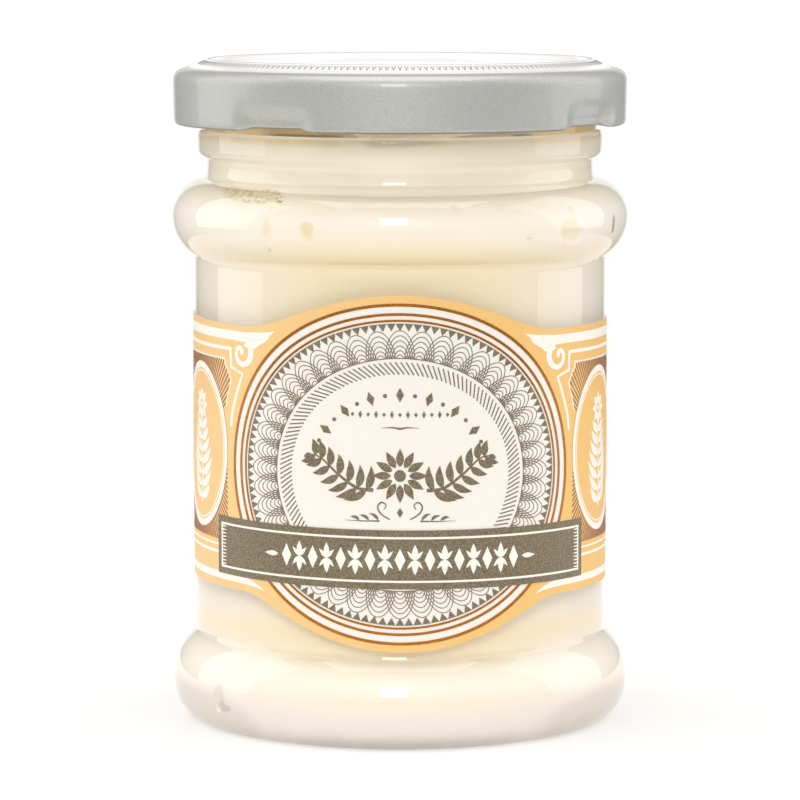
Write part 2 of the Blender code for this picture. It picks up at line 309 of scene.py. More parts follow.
@dataclass(frozen=True)
class Cream:
    """Mayonnaise: warm in front, with painted light and shade: a paler painted sheen at the sides, a
    painted glare in the bulges, painted shade in the crevices, at the foot, at the air pockets and in a
    golden band at the top edge under the lid, and painted light at the neck.
    """

    warm: Colour = (0.925, 0.775, 0.515)
    # side: painted sheen, a paler and cooler colour standing in for the light and reflections at the
    # sides
    side: Colour = (0.850, 0.755, 0.630)
    # bulge_glare: painted glare, a paler colour standing in for the lights' reflection on the bulges
    bulge_glare: Colour = (0.935, 0.865, 0.745)
    # crevice_shade: painted shade, a deeper golden colour for the shade in the crevices
    crevice_shade: Colour = (0.880, 0.720, 0.470)
    # under_lid_shade: painted shade, a golden band at the top edge for the shade under the lid
    under_lid_shade: Colour = (0.900, 0.600, 0.180)
    side_from: float = 0.012
    side_full: float = 0.033
    # neck_light: painted light, the neck painted paler to offset the lid's shade
    neck_light: Colour = (0.985, 0.890, 0.690)
    # foot: painted shade, darker at the foot of the jar
    foot: Colour = (0.850, 0.770, 0.690)
    speck: Colour = (0.200, 0.165, 0.105)
    bulge_heights: tuple[float, ...] = (0.0830, 0.0100)
    bulge_reach: float = 0.0050
    crevice_heights: tuple[float, ...] = (0.0775, 0.0172)
    crevice_reach: float = 0.0030
    band_strength: float = 0.8
    neck_from_z: float = 0.0838
    neck_full_z: float = 0.0856
    foot_full_z: float = 0.0045
    foot_from_z: float = 0.0095
    cloud_width: float = 0.021
    swirl_width: float = 0.0024
    swirl_depth: float = 0.00009
    lid_shade_from_z: float = 0.0945
    lid_shade_full_z: float = 0.0963
    lobe_left: float = -0.0098
    lobe_right: float = 0.0190
    lobe_edge: float = 0.0010
    border_wave: float = 0.002
    side_wave: float = 0.006
    speck_width: float = 0.0007
    speck_levels: tuple[float, float] = (0.50, 0.60)
    shade_spot_levels: tuple[float, float] = (0.5, 1.1)
    front_depth: float = -0.001
    rag: float = 0.0006
    rag_width: float = 0.003
    # Painted spots on the front of the mayonnaise
    shade_spots: tuple[ShadeSpot, ...] = (
        # Painted shade over the air pockets at the upper bulge
        ShadeSpot(-0.0226, 0.0858, 0.0052, 0.0009, (0.880, 0.745, 0.480), 0.8, 0.40),
        ShadeSpot(-0.0142, 0.0817, 0.0009, 0.0015, (0.915, 0.740, 0.430), 0.7),
        ShadeSpot(-0.0201, 0.0817, 0.0007, 0.0020, (0.900, 0.760, 0.520), 0.7),
        ShadeSpot(0.0261, 0.0814, 0.0016, 0.0018, (0.860, 0.700, 0.430), 0.7),
        # Painted reflection in the low air pocket
        ShadeSpot(-0.0271, 0.0049, 0.0011, 0.0006, (0.380, 0.385, 0.430), 0.8),
        # Painted shade at the two heel corners
        ShadeSpot(-0.0340, 0.0028, 0.0130, 0.0046, (0.660, 0.590, 0.500), 0.6),
        ShadeSpot(0.0340, 0.0028, 0.0130, 0.0046, (0.660, 0.590, 0.500), 0.6),
    )

    @staticmethod
    def near(board: Board, height: Wire, heights: Sequence[float], reach: float) -> Wire:
        """Mark the bands round some heights.

        Args:
            board: The material's tree.
            height: The height on the piece.
            heights: The bands' middles.
            reach: How far from its middle a band fades out.

        Returns:
            1 in the middle of a band and 0 away from all of them.
        """
        share = 0.0
        for middle in heights:
            off = board.maths("ABSOLUTE", height - middle)
            share = 1.0 - board.eased(off, 0.0, reach) + share
        return share

    def material(self) -> bpy.types.Material:
        """Make the material.

        Returns:
            The material.
        """
        board = Board("mayonnaise")
        across, depth, height = board.axes()
        clouds = board.noise(self.cloud_width, 3.0, (1.0, 1.0, 0.5))
        wavy = height + self.border_wave * clouds - self.border_wave / 2.0
        # Painted sheen: paler towards the sides, for the light and reflections there
        side_sheen_share = board.eased(board.maths("ABSOLUTE", across) + self.side_wave * clouds,
                            self.side_from, self.side_full)
        body = board.mix(side_sheen_share, self.warm, self.side)
        # Painted glare on the bulges
        bulge_glare_share = self.near(board, wavy, self.bulge_heights, self.bulge_reach)
        body = board.mix(bulge_glare_share * self.band_strength, body, self.bulge_glare)
        # Painted shade in the crevices
        crevice_shade_share = self.near(board, wavy, self.crevice_heights, self.crevice_reach)
        body = board.mix(crevice_shade_share * self.band_strength, body, self.crevice_shade)
        # Painted light at the neck
        body = board.mix(board.eased(wavy, self.neck_from_z, self.neck_full_z), body, self.neck_light)
        # Painted shade at the foot
        body = board.mix(board.eased(wavy, self.foot_full_z, self.foot_from_z), self.foot, body)
        specks = board.eased(board.noise(self.speck_width, 2.0), *self.speck_levels)
        in_front = board.eased(depth, 0.0, self.front_depth)
        # Lay the painted spots of shade and reflection
        for shade_spot in self.shade_spots:
            away = (((across - shade_spot.across) / shade_spot.half_across) ** 2.0
                    + ((height - shade_spot.height) / shade_spot.half_height) ** 2.0)
            share = (1.0 - board.eased(away, *self.shade_spot_levels)) * in_front
            colour = board.mix(specks * shade_spot.speckle, shade_spot.colour, self.speck)
            body = board.mix(share * shade_spot.strength, body, colour)
        # Painted shade under the lid: a golden band at the top, weaker where the lobe presses on the
        # glass
        ragged = height + self.rag * board.noise(self.rag_width, 2.0)
        beside = (1.0 - board.eased(across, self.lobe_left, self.lobe_left + self.lobe_edge)
                  + board.eased(across, self.lobe_right, self.lobe_right + self.lobe_edge))
        under_lid_shade_share = board.eased(ragged, self.lid_shade_from_z, self.lid_shade_full_z) * (0.5 + 0.5 * beside)
        swirl = board.noise(self.swirl_width, 3.0, (1.6, 1.6, 0.7))
        board.set(Base_Color=board.mix(under_lid_shade_share, body, self.under_lid_shade),
                  Roughness=0.32 + 0.2 * swirl)
        board.relief(swirl, self.swirl_depth)
        return board.owner


@dataclass(frozen=True)
class SilverLacquer:
    """Warm grey metallic lacquer with a fine sparkle under a clear coat."""

    dark: Colour = (0.450, 0.446, 0.420)
    light: Colour = (0.540, 0.535, 0.506)
    flake_width: float = 0.00020
    flake_depth: float = 0.000006

    def material(self) -> bpy.types.Material:
        """Make the material.

        Returns:
            The material.
        """
        board = Board("silver_lacquer")
        flakes = board.noise(self.flake_width, 2.0)
        sparkle = board.eased(flakes, 0.3, 0.7)
        board.set(Base_Color=board.mix(sparkle, self.dark, self.light),
                  Metallic=0.72, Roughness=0.50 + 0.10 * flakes,
                  Coat_Weight=0.5, Coat_Roughness=0.05)
        board.relief(flakes, self.flake_depth)
        return board.owner


@dataclass(frozen=True)
class WhiteLacquer:
    """White enamel of the lid's top, with a faint orange peel."""

    white: Colour = (0.900, 0.872, 0.860)
    shade: Colour = (0.870, 0.838, 0.828)
    cloud_width: float = 0.012
    peel_width: float = 0.0009
    peel_depth: float = 0.000008

    def material(self) -> bpy.types.Material:
        """Make the material.

        Returns:
            The material.
        """
        board = Board("white_lacquer")
        clouds = board.noise(self.cloud_width, 2.0)
        board.set(Base_Color=board.mix(clouds, self.white, self.shade),
                  Roughness=0.22, Coat_Weight=0.3, Coat_Roughness=0.05)
        board.relief(board.noise(self.peel_width, 1.0), self.peel_depth)
        return board.owner


@dataclass(frozen=True)
class PaperStock:
    """Coated label paper with a little fibre in it."""

    pale: Colour = (0.905, 0.850, 0.770)
    fibre: Colour = (0.875, 0.815, 0.725)
    fibre_width: float = 0.0006
    fibre_depth: float = 0.000010

    def material(self) -> bpy.types.Material:
        """Make the material.

        Returns:
            The material.
        """
        board = Board("label_paper")
        fibres = board.noise(self.fibre_width, 4.0, (1.0, 1.0, 0.4))
        board.set(Base_Color=board.mix(fibres, self.pale, self.fibre), Roughness=0.48)
        board.relief(fibres, self.fibre_depth)
        return board.owner


@dataclass(frozen=True)
class Ink:
    """One printing ink, with the grain of its screen."""

    name: str
    first: Colour
    second: Colour
    grain: float = 0.0003
    grain_detail: float = 2.0
    contrast: tuple[float, float] = (0.3, 0.7)
    roughness: float = 0.42
    metallic: float = 0.0
    depth: float = 0.000004

    def colour(self, board: Board, grain: Wire) -> Wire:
        """Mix the ink's two colours by the grain."""
        return board.mix(board.eased(grain, *self.contrast), self.first, self.second)

    def material(self) -> bpy.types.Material:
        """Make the material.

        Returns:
            The material.
        """
        board = Board(self.name)
        grain = board.noise(self.grain, self.grain_detail)
        board.set(Base_Color=self.colour(board, grain), Roughness=self.roughness + 0.1 * grain,
                  Metallic=self.metallic)
        board.relief(grain, self.depth)
        return board.owner


@dataclass(frozen=True)
class LeftLitInk(Ink):
    """A field of ink that is painted lighter on the left of the label than on the right, as painted light
    from the left.
    """

    left: Colour = (1.0, 1.0, 1.0)
    reach: float = 0.034

    def colour(self, board: Board, grain: Wire) -> Wire:
        """Fade from the left's painted lighter colour to the printed one."""
        across = board.eased(board.axes()[0], -self.reach, self.reach)
        return board.mix(across, self.left, super().colour(board, grain))


# The peach field, with painted light on its left
PEACH = LeftLitInk("peach_ink", (0.865, 0.530, 0.170), (0.850, 0.505, 0.150),
                  left=(0.870, 0.565, 0.235))
CREAM = Ink("cream_ink", (0.940, 0.890, 0.800), (0.925, 0.870, 0.770))
BROWN = Ink("brown_ink", (0.300, 0.125, 0.050), (0.360, 0.165, 0.075))
OLIVE = Ink("olive_ink", (0.125, 0.100, 0.058), (0.250, 0.210, 0.135), grain=0.00022)
TAUPE = Ink("taupe_ink", (0.142, 0.106, 0.060), (0.252, 0.202, 0.125), grain=0.00026,
            contrast=(0.38, 0.62), metallic=0.15)
COPPER = Ink("copper_foil", (0.360, 0.120, 0.010), (0.480, 0.185, 0.022), grain=0.00035,
             roughness=0.26, metallic=0.75)
MARK = Ink("grey_mark", (0.340, 0.328, 0.328), (0.420, 0.405, 0.405))
# Painted shade: grey on the ridge's crest for the shade lines along the ridge
RIDGE_SHADE_GREY = Ink("ridge_painted_shade", (0.500, 0.486, 0.486), (0.560, 0.545, 0.545))
# Painted shade: dark under the rolled foot, for its shade and its reflection of the dark gap below
CURL_SHADE_INK = Ink("curl_painted_shade", (0.200, 0.192, 0.180), (0.250, 0.240, 0.226))


# Shapes


def arc(centre: Point, radius: float, start: float, end: float, steps: int) -> list[Point]:
    """Sample an arc.

    Args:
        centre: Its centre.
        radius: Its radius.
        start: Its first angle in degrees, from the first axis towards the second.
        end: Its last angle.
        steps: The number of chords.

    Returns:
        The points.
    """
    angles = [math.radians(start + (end - start) * index / steps) for index in range(steps + 1)]
    return [(centre[0] + radius * math.cos(angle), centre[1] + radius * math.sin(angle))
            for angle in angles]


def super_quarter(centre: Point, half: Point, power: float, start: float, end: float,
                  steps: int) -> list[Point]:
    """Sample a squarish curve.

    Args:
        centre: Its centre.
        half: Its half width and half height.
        power: 2 for an ellipse, more for a squarer curve.
        start: Its first angle in degrees.
        end: Its last angle.
        steps: The number of chords.

    Returns:
        The points.
    """
    points = []
    for index in range(steps + 1):
        angle = math.radians(start + (end - start) * index / steps)
        across = math.copysign(abs(math.cos(angle)) ** (2.0 / power), math.cos(angle))
        up = math.copysign(abs(math.sin(angle)) ** (2.0 / power), math.sin(angle))
        points.append((centre[0] + half[0] * across, centre[1] + half[1] * up))
    return points


def smooth_step(value: float) -> float:
    """Ease from 0 to 1 with level ends."""
    value = min(max(value, 0.0), 1.0)
    return value * value * (3.0 - 2.0 * value)


def blend(share: float, first: float, second: float) -> float:
    """Go from one number to another."""
    return first + (second - first) * share


def arc_between(start: Point, end: Point, steps: int) -> list[Point]:
    """Ease from one height to another as the radius grows, without the start.

    Args:
        start: The first radius and height.
        end: The last ones.
        steps: The number of chords.

    Returns:
        The points after the start, up to but not including the end.
    """
    return [(blend(index / steps, start[0], end[0]),
             blend(smooth_step(index / steps), start[1], end[1])) for index in range(1, steps)]


def moved_left(points: Sequence[Point], distance: float) -> list[Point]:
    """Offset a line.

    Args:
        points: The line.
        distance: How far each point moves to the left of the way the line goes.

    Returns:
        The offset line.
    """
    moved = []
    for index, (across, up) in enumerate(points):
        before = points[max(index - 1, 0)]
        after = points[min(index + 1, len(points) - 1)]
        along = (after[0] - before[0], after[1] - before[1])
        length = math.hypot(*along) or 1.0
        moved.append((across - along[1] / length * distance, up + along[0] / length * distance))
    return moved


def through(points: Sequence[Sequence[float]], steps: int) -> list[tuple[float, ...]]:
    """Run a smooth curve through points of any number of coordinates.

    Args:
        points: The points that it passes.
        steps: The number of pieces between two of them.

    Returns:
        The curve's points.
    """
    curve = []
    last = len(points) - 1
    for index in range(last):
        knots = [points[max(index - 1, 0)], points[index],
                 points[index + 1], points[min(index + 2, last)]]
        for step in range(steps):
            t = step / steps
            weights = (-0.5 * t + t * t - 0.5 * t ** 3, 1.0 - 2.5 * t * t + 1.5 * t ** 3,
                       0.5 * t + 2.0 * t * t - 1.5 * t ** 3, -0.5 * t * t + 0.5 * t ** 3)
            curve.append(tuple(sum(weight * knot[axis] for weight, knot in zip(weights, knots))
                               for axis in range(len(points[0]))))
    curve.append(tuple(points[-1]))
    return curve


def resampled(points: Sequence[Point], step: Callable[[Point], float]) -> list[Point]:
    """Cut a line into short pieces and keep its corners.

    Args:
        points: The line.
        step: The longest piece allowed at a point.

    Returns:
        The finer line.
    """
    fine = [points[0]]
    for start, end in zip(points, points[1:]):
        length = math.dist(start, end)
        count = max(1, math.ceil(length / step(start)))
        fine += [(blend(index / count, start[0], end[0]), blend(index / count, start[1], end[1]))
                 for index in range(1, count + 1)]
    return fine


def on_circle(radius: float, azimuth: float, height: float) -> Vector:
    """A point at a radius, an azimuth from the front towards +X, and a height."""
    return Vector((radius * math.sin(azimuth), -radius * math.cos(azimuth), height))


def even_turn(count: int) -> list[float]:
    """Azimuths all the way round, evenly spaced."""
    return [math.tau * index / count for index in range(count)]


def new_piece(name: str, corners: Sequence[Vector], faces: Sequence[Sequence[int]],
              material: bpy.types.Material, smooth: float = 35.0) -> bpy.types.Object:
    """Make an object from corners and faces.

    Args:
        name: The piece's name.
        corners: Its corners.
        faces: Its faces, by the corners' numbers.
        material: Its material.
        smooth: The angle in degrees up to which edges are shaded smooth.

    Returns:
        The piece, linked to the scene.
    """
    mesh = bpy.data.meshes.new(name)
    mesh.from_pydata(corners, [], faces)
    mesh.materials.append(material)
    mesh.shade_smooth()
    mesh.set_sharp_from_angle(angle=math.radians(smooth))
    piece = bpy.data.objects.new(name, mesh)
    bpy.context.scene.collection.objects.link(piece)
    return piece


Warp = Callable[[float, float, float], Point]


def turned(name: str, profile: Sequence[Point], azimuths: Sequence[float],
           material: bpy.types.Material, warp: Warp | None = None) -> bpy.types.Object:
    """Turn a profile that starts and ends on the axis.

    Args:
        name: The piece's name.
        profile: Radius and height of each ring, so that solid lies to the right of its way.
        azimuths: The columns, in order round the axis.
        material: The piece's material.
        warp: Gives a corner's own radius and height from its azimuth, radius and height.

    Returns:
        The piece.
    """
    corners: list[Vector] = []
    rings: list[list[int]] = []
    for radius, height in profile:
        columns = azimuths if radius > TINY else [0.0]
        ring = []
        for azimuth in columns:
            r, z = warp(azimuth, radius, height) if warp else (radius, height)
            ring.append(len(corners))
            corners.append(on_circle(r, azimuth, z))
        rings.append(ring)
    faces = []
    for upper, lower in zip(rings, rings[1:]):
        for index in range(len(azimuths)):
            after = (index + 1) % len(azimuths)
            loop = [upper[index % len(upper)], lower[index % len(lower)],
                    lower[after % len(lower)], upper[after % len(upper)]]
            faces.append(list(dict.fromkeys(loop)))
    return new_piece(name, corners, faces, material)


Place = Callable[[float, float, float], Vector]


@dataclass
class Press:
    """Gathers flat shapes and lays them on a curved face as one thin closed film.

    The face is given by a function of two flat coordinates and a height above it, with
    the first coordinate to the right and the second one up as seen from outside.
    """

    place: Place
    spots: list[Point] = field(default_factory=list)
    faces: list[list[int]] = field(default_factory=list)

    def add_face(self, corners: Sequence[int]) -> None:
        """Add a face, turned so that it faces outwards.

        Args:
            corners: Numbers of spots round the face.
        """
        around = list(corners)
        points = [self.spots[index] for index in around]
        area = sum(a[0] * b[1] - b[0] * a[1] for a, b in zip(points, points[1:] + points[:1]))
        self.faces.append(around if area > 0.0 else around[::-1])

    def band(self, first: Sequence[Point], second: Sequence[Point], closed: bool = False) -> None:
        """Fill between two lines of as many points.

        Args:
            first: One edge.
            second: The other edge, the same way round.
            closed: Whether the ends meet.
        """
        start = len(self.spots)
        count = len(first)
        self.spots += [*first, *second]
        for index in range(count if closed else count - 1):
            after = (index + 1) % count
            self.add_face([start + index, start + after,
                           start + count + after, start + count + index])

    def stroke(self, path: Sequence[Sequence[float]], width: float = 1.0,
               closed: bool = False) -> None:
        """Draw a line.

        Args:
            path: Its points; a third number is the line's width there.
            width: The width, or what the points' own widths are multiplied by.
            closed: Whether the line is a loop.
        """
        left, right = [], []
        count = len(path)
        for index, point in enumerate(path):
            before = path[(index - 1) % count] if closed else path[max(index - 1, 0)]
            after = path[(index + 1) % count] if closed else path[min(index + 1, count - 1)]
            along = (after[0] - before[0], after[1] - before[1])
            length = math.hypot(*along) or 1.0
            half = width * (point[2] if len(point) > 2 else 1.0) / 2.0
            shift = (-along[1] / length * half, along[0] / length * half)
            left.append((point[0] + shift[0], point[1] + shift[1]))
            right.append((point[0] - shift[0], point[1] - shift[1]))
        self.band(left, right, closed)

    def patch(self, outline: Sequence[Point]) -> None:
        """Fill a small convex outline.

        Args:
            outline: Its corners in order.
        """
        start = len(self.spots)
        self.spots += outline
        self.add_face(range(start, start + len(outline)))

    def dot(self, centre: Point, radius: float, sides: int = 10) -> None:
        """Print a round dot."""
        self.patch(arc(centre, radius, 0.0, 360.0 * (sides - 1) / sides, sides - 1))

    def lozenge(self, centre: Point, half: Point, lean: float = 0.0) -> None:
        """Print a lozenge.

        Args:
            centre: Its middle.
            half: Its half width and half height.
            lean: How far it is turned clockwise, in radians.
        """
        axes = [(half[0], 0.0), (0.0, half[1]), (-half[0], 0.0), (0.0, -half[1])]
        self.patch([(centre[0] + x * math.cos(lean) + y * math.sin(lean),
                     centre[1] - x * math.sin(lean) + y * math.cos(lean)) for x, y in axes])

    def leaf(self, root: Point, tip: Point, width: float, bend: float = 0.0) -> None:
        """Print a pointed leaf or petal.

        Args:
            root: Where it grows.
            tip: Where it ends.
            width: Its greatest width.
            bend: How far its middle swings to the left, as a share of its length.
        """
        along = (tip[0] - root[0], tip[1] - root[1])
        path = []
        steps = 8
        for index in range(steps + 1):
            share = index / steps
            swing = bend * 4.0 * share * (1.0 - share)
            path.append((root[0] + along[0] * share - along[1] * swing,
                         root[1] + along[1] * share + along[0] * swing,
                         max(math.sin(math.pi * share ** 0.8), 0.02)))
        self.stroke(path, width)

    def lift(self, name: str, top: float, thickness: float,
             finish: "Ink | PaperStock") -> bpy.types.Object:
        """Make the film from the shapes gathered.

        Args:
            name: The piece's name.
            top: How far its upper face stands off the curved face.
            thickness: How thick it is.
            finish: Its finish.

        Returns:
            The piece.
        """
        count = len(self.spots)
        corners = [self.place(*spot, top) for spot in self.spots]
        corners += [self.place(*spot, top - thickness) for spot in self.spots]
        faces = list(self.faces)
        faces += [[index + count for index in reversed(face)] for face in self.faces]
        sides = {}
        for face in self.faces:
            for start, end in zip(face, face[1:] + face[:1]):
                if (end, start) in sides:
                    del sides[(end, start)]
                else:
                    sides[(start, end)] = True
        faces += [[end, start, start + count, end + count] for start, end in sides]
        return new_piece(name, corners, faces, finish.material())


def finished(piece: bpy.types.Object, node: str | None = None) -> None:
    """Tie a piece to the frame and report it.

    Args:
        piece: The piece.
        node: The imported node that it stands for.
    """
    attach(piece, BODY)
    if node:
        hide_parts(node)
    log.info("%s: %d faces", piece.name, len(piece.data.polygons))


# The jar


@dataclass
class GlassJar:
    """The blown jar: finish, transfer bead, groove, two bulges and a straight body."""

    finish_top_z: float = 0.1062
    finish_radius: float = 0.0320
    finish_round: float = 0.0010
    bead_radius: float = 0.0329
    bead_top_z: float = 0.0962
    bead_bottom_z: float = 0.0917
    bead_top_round: float = 0.0008
    bead_bottom_round: float = 0.0014
    groove_radius: float = 0.0314
    groove_bottom_z: float = 0.0888
    bulge_radius: float = 0.03717
    upper_bulge_z: float = 0.0822
    upper_top_curve: float = 0.0061
    upper_low_curve: float = 0.0074
    body_radius: float = 0.0335
    lower_bulge_z: float = 0.0070
    lower_curve: float = 0.0093
    fillet: float = 0.0006
    heel_power: float = 2.3
    foot_outer: float = 0.0320
    foot_inner: float = 0.0292
    push_up_radius: float = 0.0262
    push_up_edge_z: float = 0.0010
    push_up_centre_z: float = 0.0016
    wall: float = 0.0023
    mouth_radius: float = 0.0293
    neck_ease_radius: float = 0.0300
    floor_edge_z: float = 0.0019
    floor_centre_z: float = 0.0030
    floor_flat_radius: float = 0.0306
    columns: int = 192
    curve_steps: int = 14

    @staticmethod
    def meeting(bulge: float, curve: float, wall: float) -> float:
        """Angle in degrees from the widest point at which a bulge's arc comes in to a wall."""
        return math.degrees(math.acos((curve - (bulge - wall)) / curve))

    def outside(self) -> list[Point]:
        """The outer face, from the rim down to the centre of the push-up.

        Returns:
            The radius and height of each point.
        """
        steps = self.curve_steps
        half_step = self.fillet / 2.0
        upper_end = self.meeting(self.bulge_radius, self.upper_low_curve, self.body_radius + half_step)
        lower_start = self.meeting(self.bulge_radius, self.lower_curve, self.body_radius + half_step)
        top_start = self.meeting(self.bulge_radius, self.upper_top_curve,
                                 self.groove_radius + self.fillet)
        rim = arc((self.finish_radius - self.finish_round, self.finish_top_z - self.finish_round),
                  self.finish_round, 90, 0, 4)
        bead = [(self.finish_radius, self.bead_top_z)]
        bead += arc((self.bead_radius - self.bead_top_round, self.bead_top_z - self.bead_top_round),
                    self.bead_top_round, 45, 0, 4)
        bead += arc((self.bead_radius - self.bead_bottom_round,
                     self.bead_bottom_z + self.bead_bottom_round),
                    self.bead_bottom_round, 0, -75, 6)
        groove = [(self.groove_radius + self.fillet / 3, self.bead_bottom_z - self.fillet / 4),
                  (self.groove_radius, self.bead_bottom_z - self.fillet),
                  (self.groove_radius, self.groove_bottom_z + self.fillet / 2),
                  (self.groove_radius + self.fillet / 4, self.groove_bottom_z - self.fillet / 4)]
        upper = arc((self.bulge_radius - self.upper_top_curve, self.upper_bulge_z),
                    self.upper_top_curve, top_start, 0, steps)
        upper += arc((self.bulge_radius - self.upper_low_curve, self.upper_bulge_z),
                     self.upper_low_curve, 0, -upper_end, steps)[1:]
        lower = arc((self.bulge_radius - self.lower_curve, self.lower_bulge_z),
                    self.lower_curve, lower_start, 0, steps)
        body = [(self.body_radius + half_step / 4, upper[-1][1] - half_step),
                (self.body_radius, upper[-1][1] - self.fillet * 2),
                (self.body_radius, lower[0][1] + self.fillet * 2),
                (self.body_radius + half_step / 4, lower[0][1] + half_step)]
        heel = super_quarter((self.foot_outer, self.lower_bulge_z),
                             (self.bulge_radius - self.foot_outer, self.lower_bulge_z),
                             self.heel_power, 0, -90, steps)[1:]
        base = [(self.foot_inner, 0.0), (self.push_up_radius, self.push_up_edge_z),
                (0.0, self.push_up_centre_z)]
        return rim + bead + groove + upper + body + lower + heel + base

    def inside(self) -> list[Point]:
        """The inner face, from the centre of the floor up to the rim.

        Returns:
            The radius and height of each point.
        """
        steps = self.curve_steps
        bulge = self.bulge_radius - self.wall
        body = self.body_radius - self.wall
        top_curve = self.upper_top_curve - self.wall
        low_curve = self.upper_low_curve - self.wall
        lower_curve = self.lower_curve - self.wall
        top_end = self.meeting(bulge, top_curve, self.mouth_radius + self.wall)
        upper_start = self.meeting(bulge, low_curve, body + self.fillet)
        lower_end = self.meeting(bulge, lower_curve, body + self.fillet)
        corner_z = self.lower_bulge_z + self.fillet
        points = [(0.0, self.floor_centre_z), (self.floor_flat_radius, self.floor_edge_z)]
        points += super_quarter((self.floor_flat_radius, corner_z),
                                (bulge - self.floor_flat_radius, corner_z - self.floor_edge_z),
                                self.heel_power, -90, 0, steps)[1:]
        points += arc((bulge - lower_curve, corner_z), lower_curve, 0, lower_end, steps)[1:]
        upper = arc((bulge - low_curve, self.upper_bulge_z), low_curve, -upper_start, 0, steps)
        upper += arc((bulge - top_curve, self.upper_bulge_z), top_curve, 0, top_end, steps)[1:]
        points += [(body, points[-1][1] + self.fillet * 2), (body, upper[0][1] - self.fillet * 2)]
        points += upper
        points += [(self.neck_ease_radius, self.groove_bottom_z - self.fillet),
                   (self.mouth_radius, self.groove_bottom_z + self.fillet * 3)]
        points += arc((self.mouth_radius + self.finish_round, self.finish_top_z - self.finish_round),
                      self.finish_round, 180, 90, 4)
        return points

    def build(self) -> None:
        """Make the jar."""
        profile = self.inside() + self.outside()
        glass = turned("glass", profile, even_turn(self.columns), ClearGlass().material())
        finished(glass, "jar_glass")


@dataclass(frozen=True)
class Pocket:
    """A place where the mayonnaise stands back from the glass.

    The place is an azimuth in degrees and a height; the half sizes run round and up.
    """

    azimuth: float
    height: float
    half_width: float
    half_height: float
    depth: float
    power: float = 2.0
    lean: float = 0.0
    rim_from: float = 1.15
    rim_width: float = 0.45

    def share(self, azimuth: float, radius: float, height: float) -> float:
        """How deep the pocket is at a point, from 0 to 1.

        Args:
            azimuth: The point's azimuth in radians.
            radius: Its radius.
            height: Its height.

        Returns:
            The share of the pocket's depth.
        """
        off = (azimuth - math.radians(self.azimuth) + math.pi) % math.tau - math.pi
        across = off * radius
        up = height - self.height
        if max(abs(across), abs(up)) > 2.0 * (self.half_width + self.half_height):
            return 0.0
        across, up = across - up * self.lean, up + across * self.lean
        reach = (abs(across / self.half_width) ** self.power
                 + abs(up / self.half_height) ** self.power) ** (1.0 / self.power)
        return smooth_step((self.rim_from - reach) / self.rim_width)


@dataclass(frozen=True)
class Window:
    """A range of azimuths in degrees with soft ends."""

    start: float
    start_ease: float
    end: float
    end_ease: float

    def share(self, azimuth: float) -> float:
        """How far an azimuth in radians is inside, from 0 to 1."""
        angle = math.degrees(azimuth)
        return (smooth_step((angle - self.start) / self.start_ease)
                * smooth_step((self.end - angle) / self.end_ease))


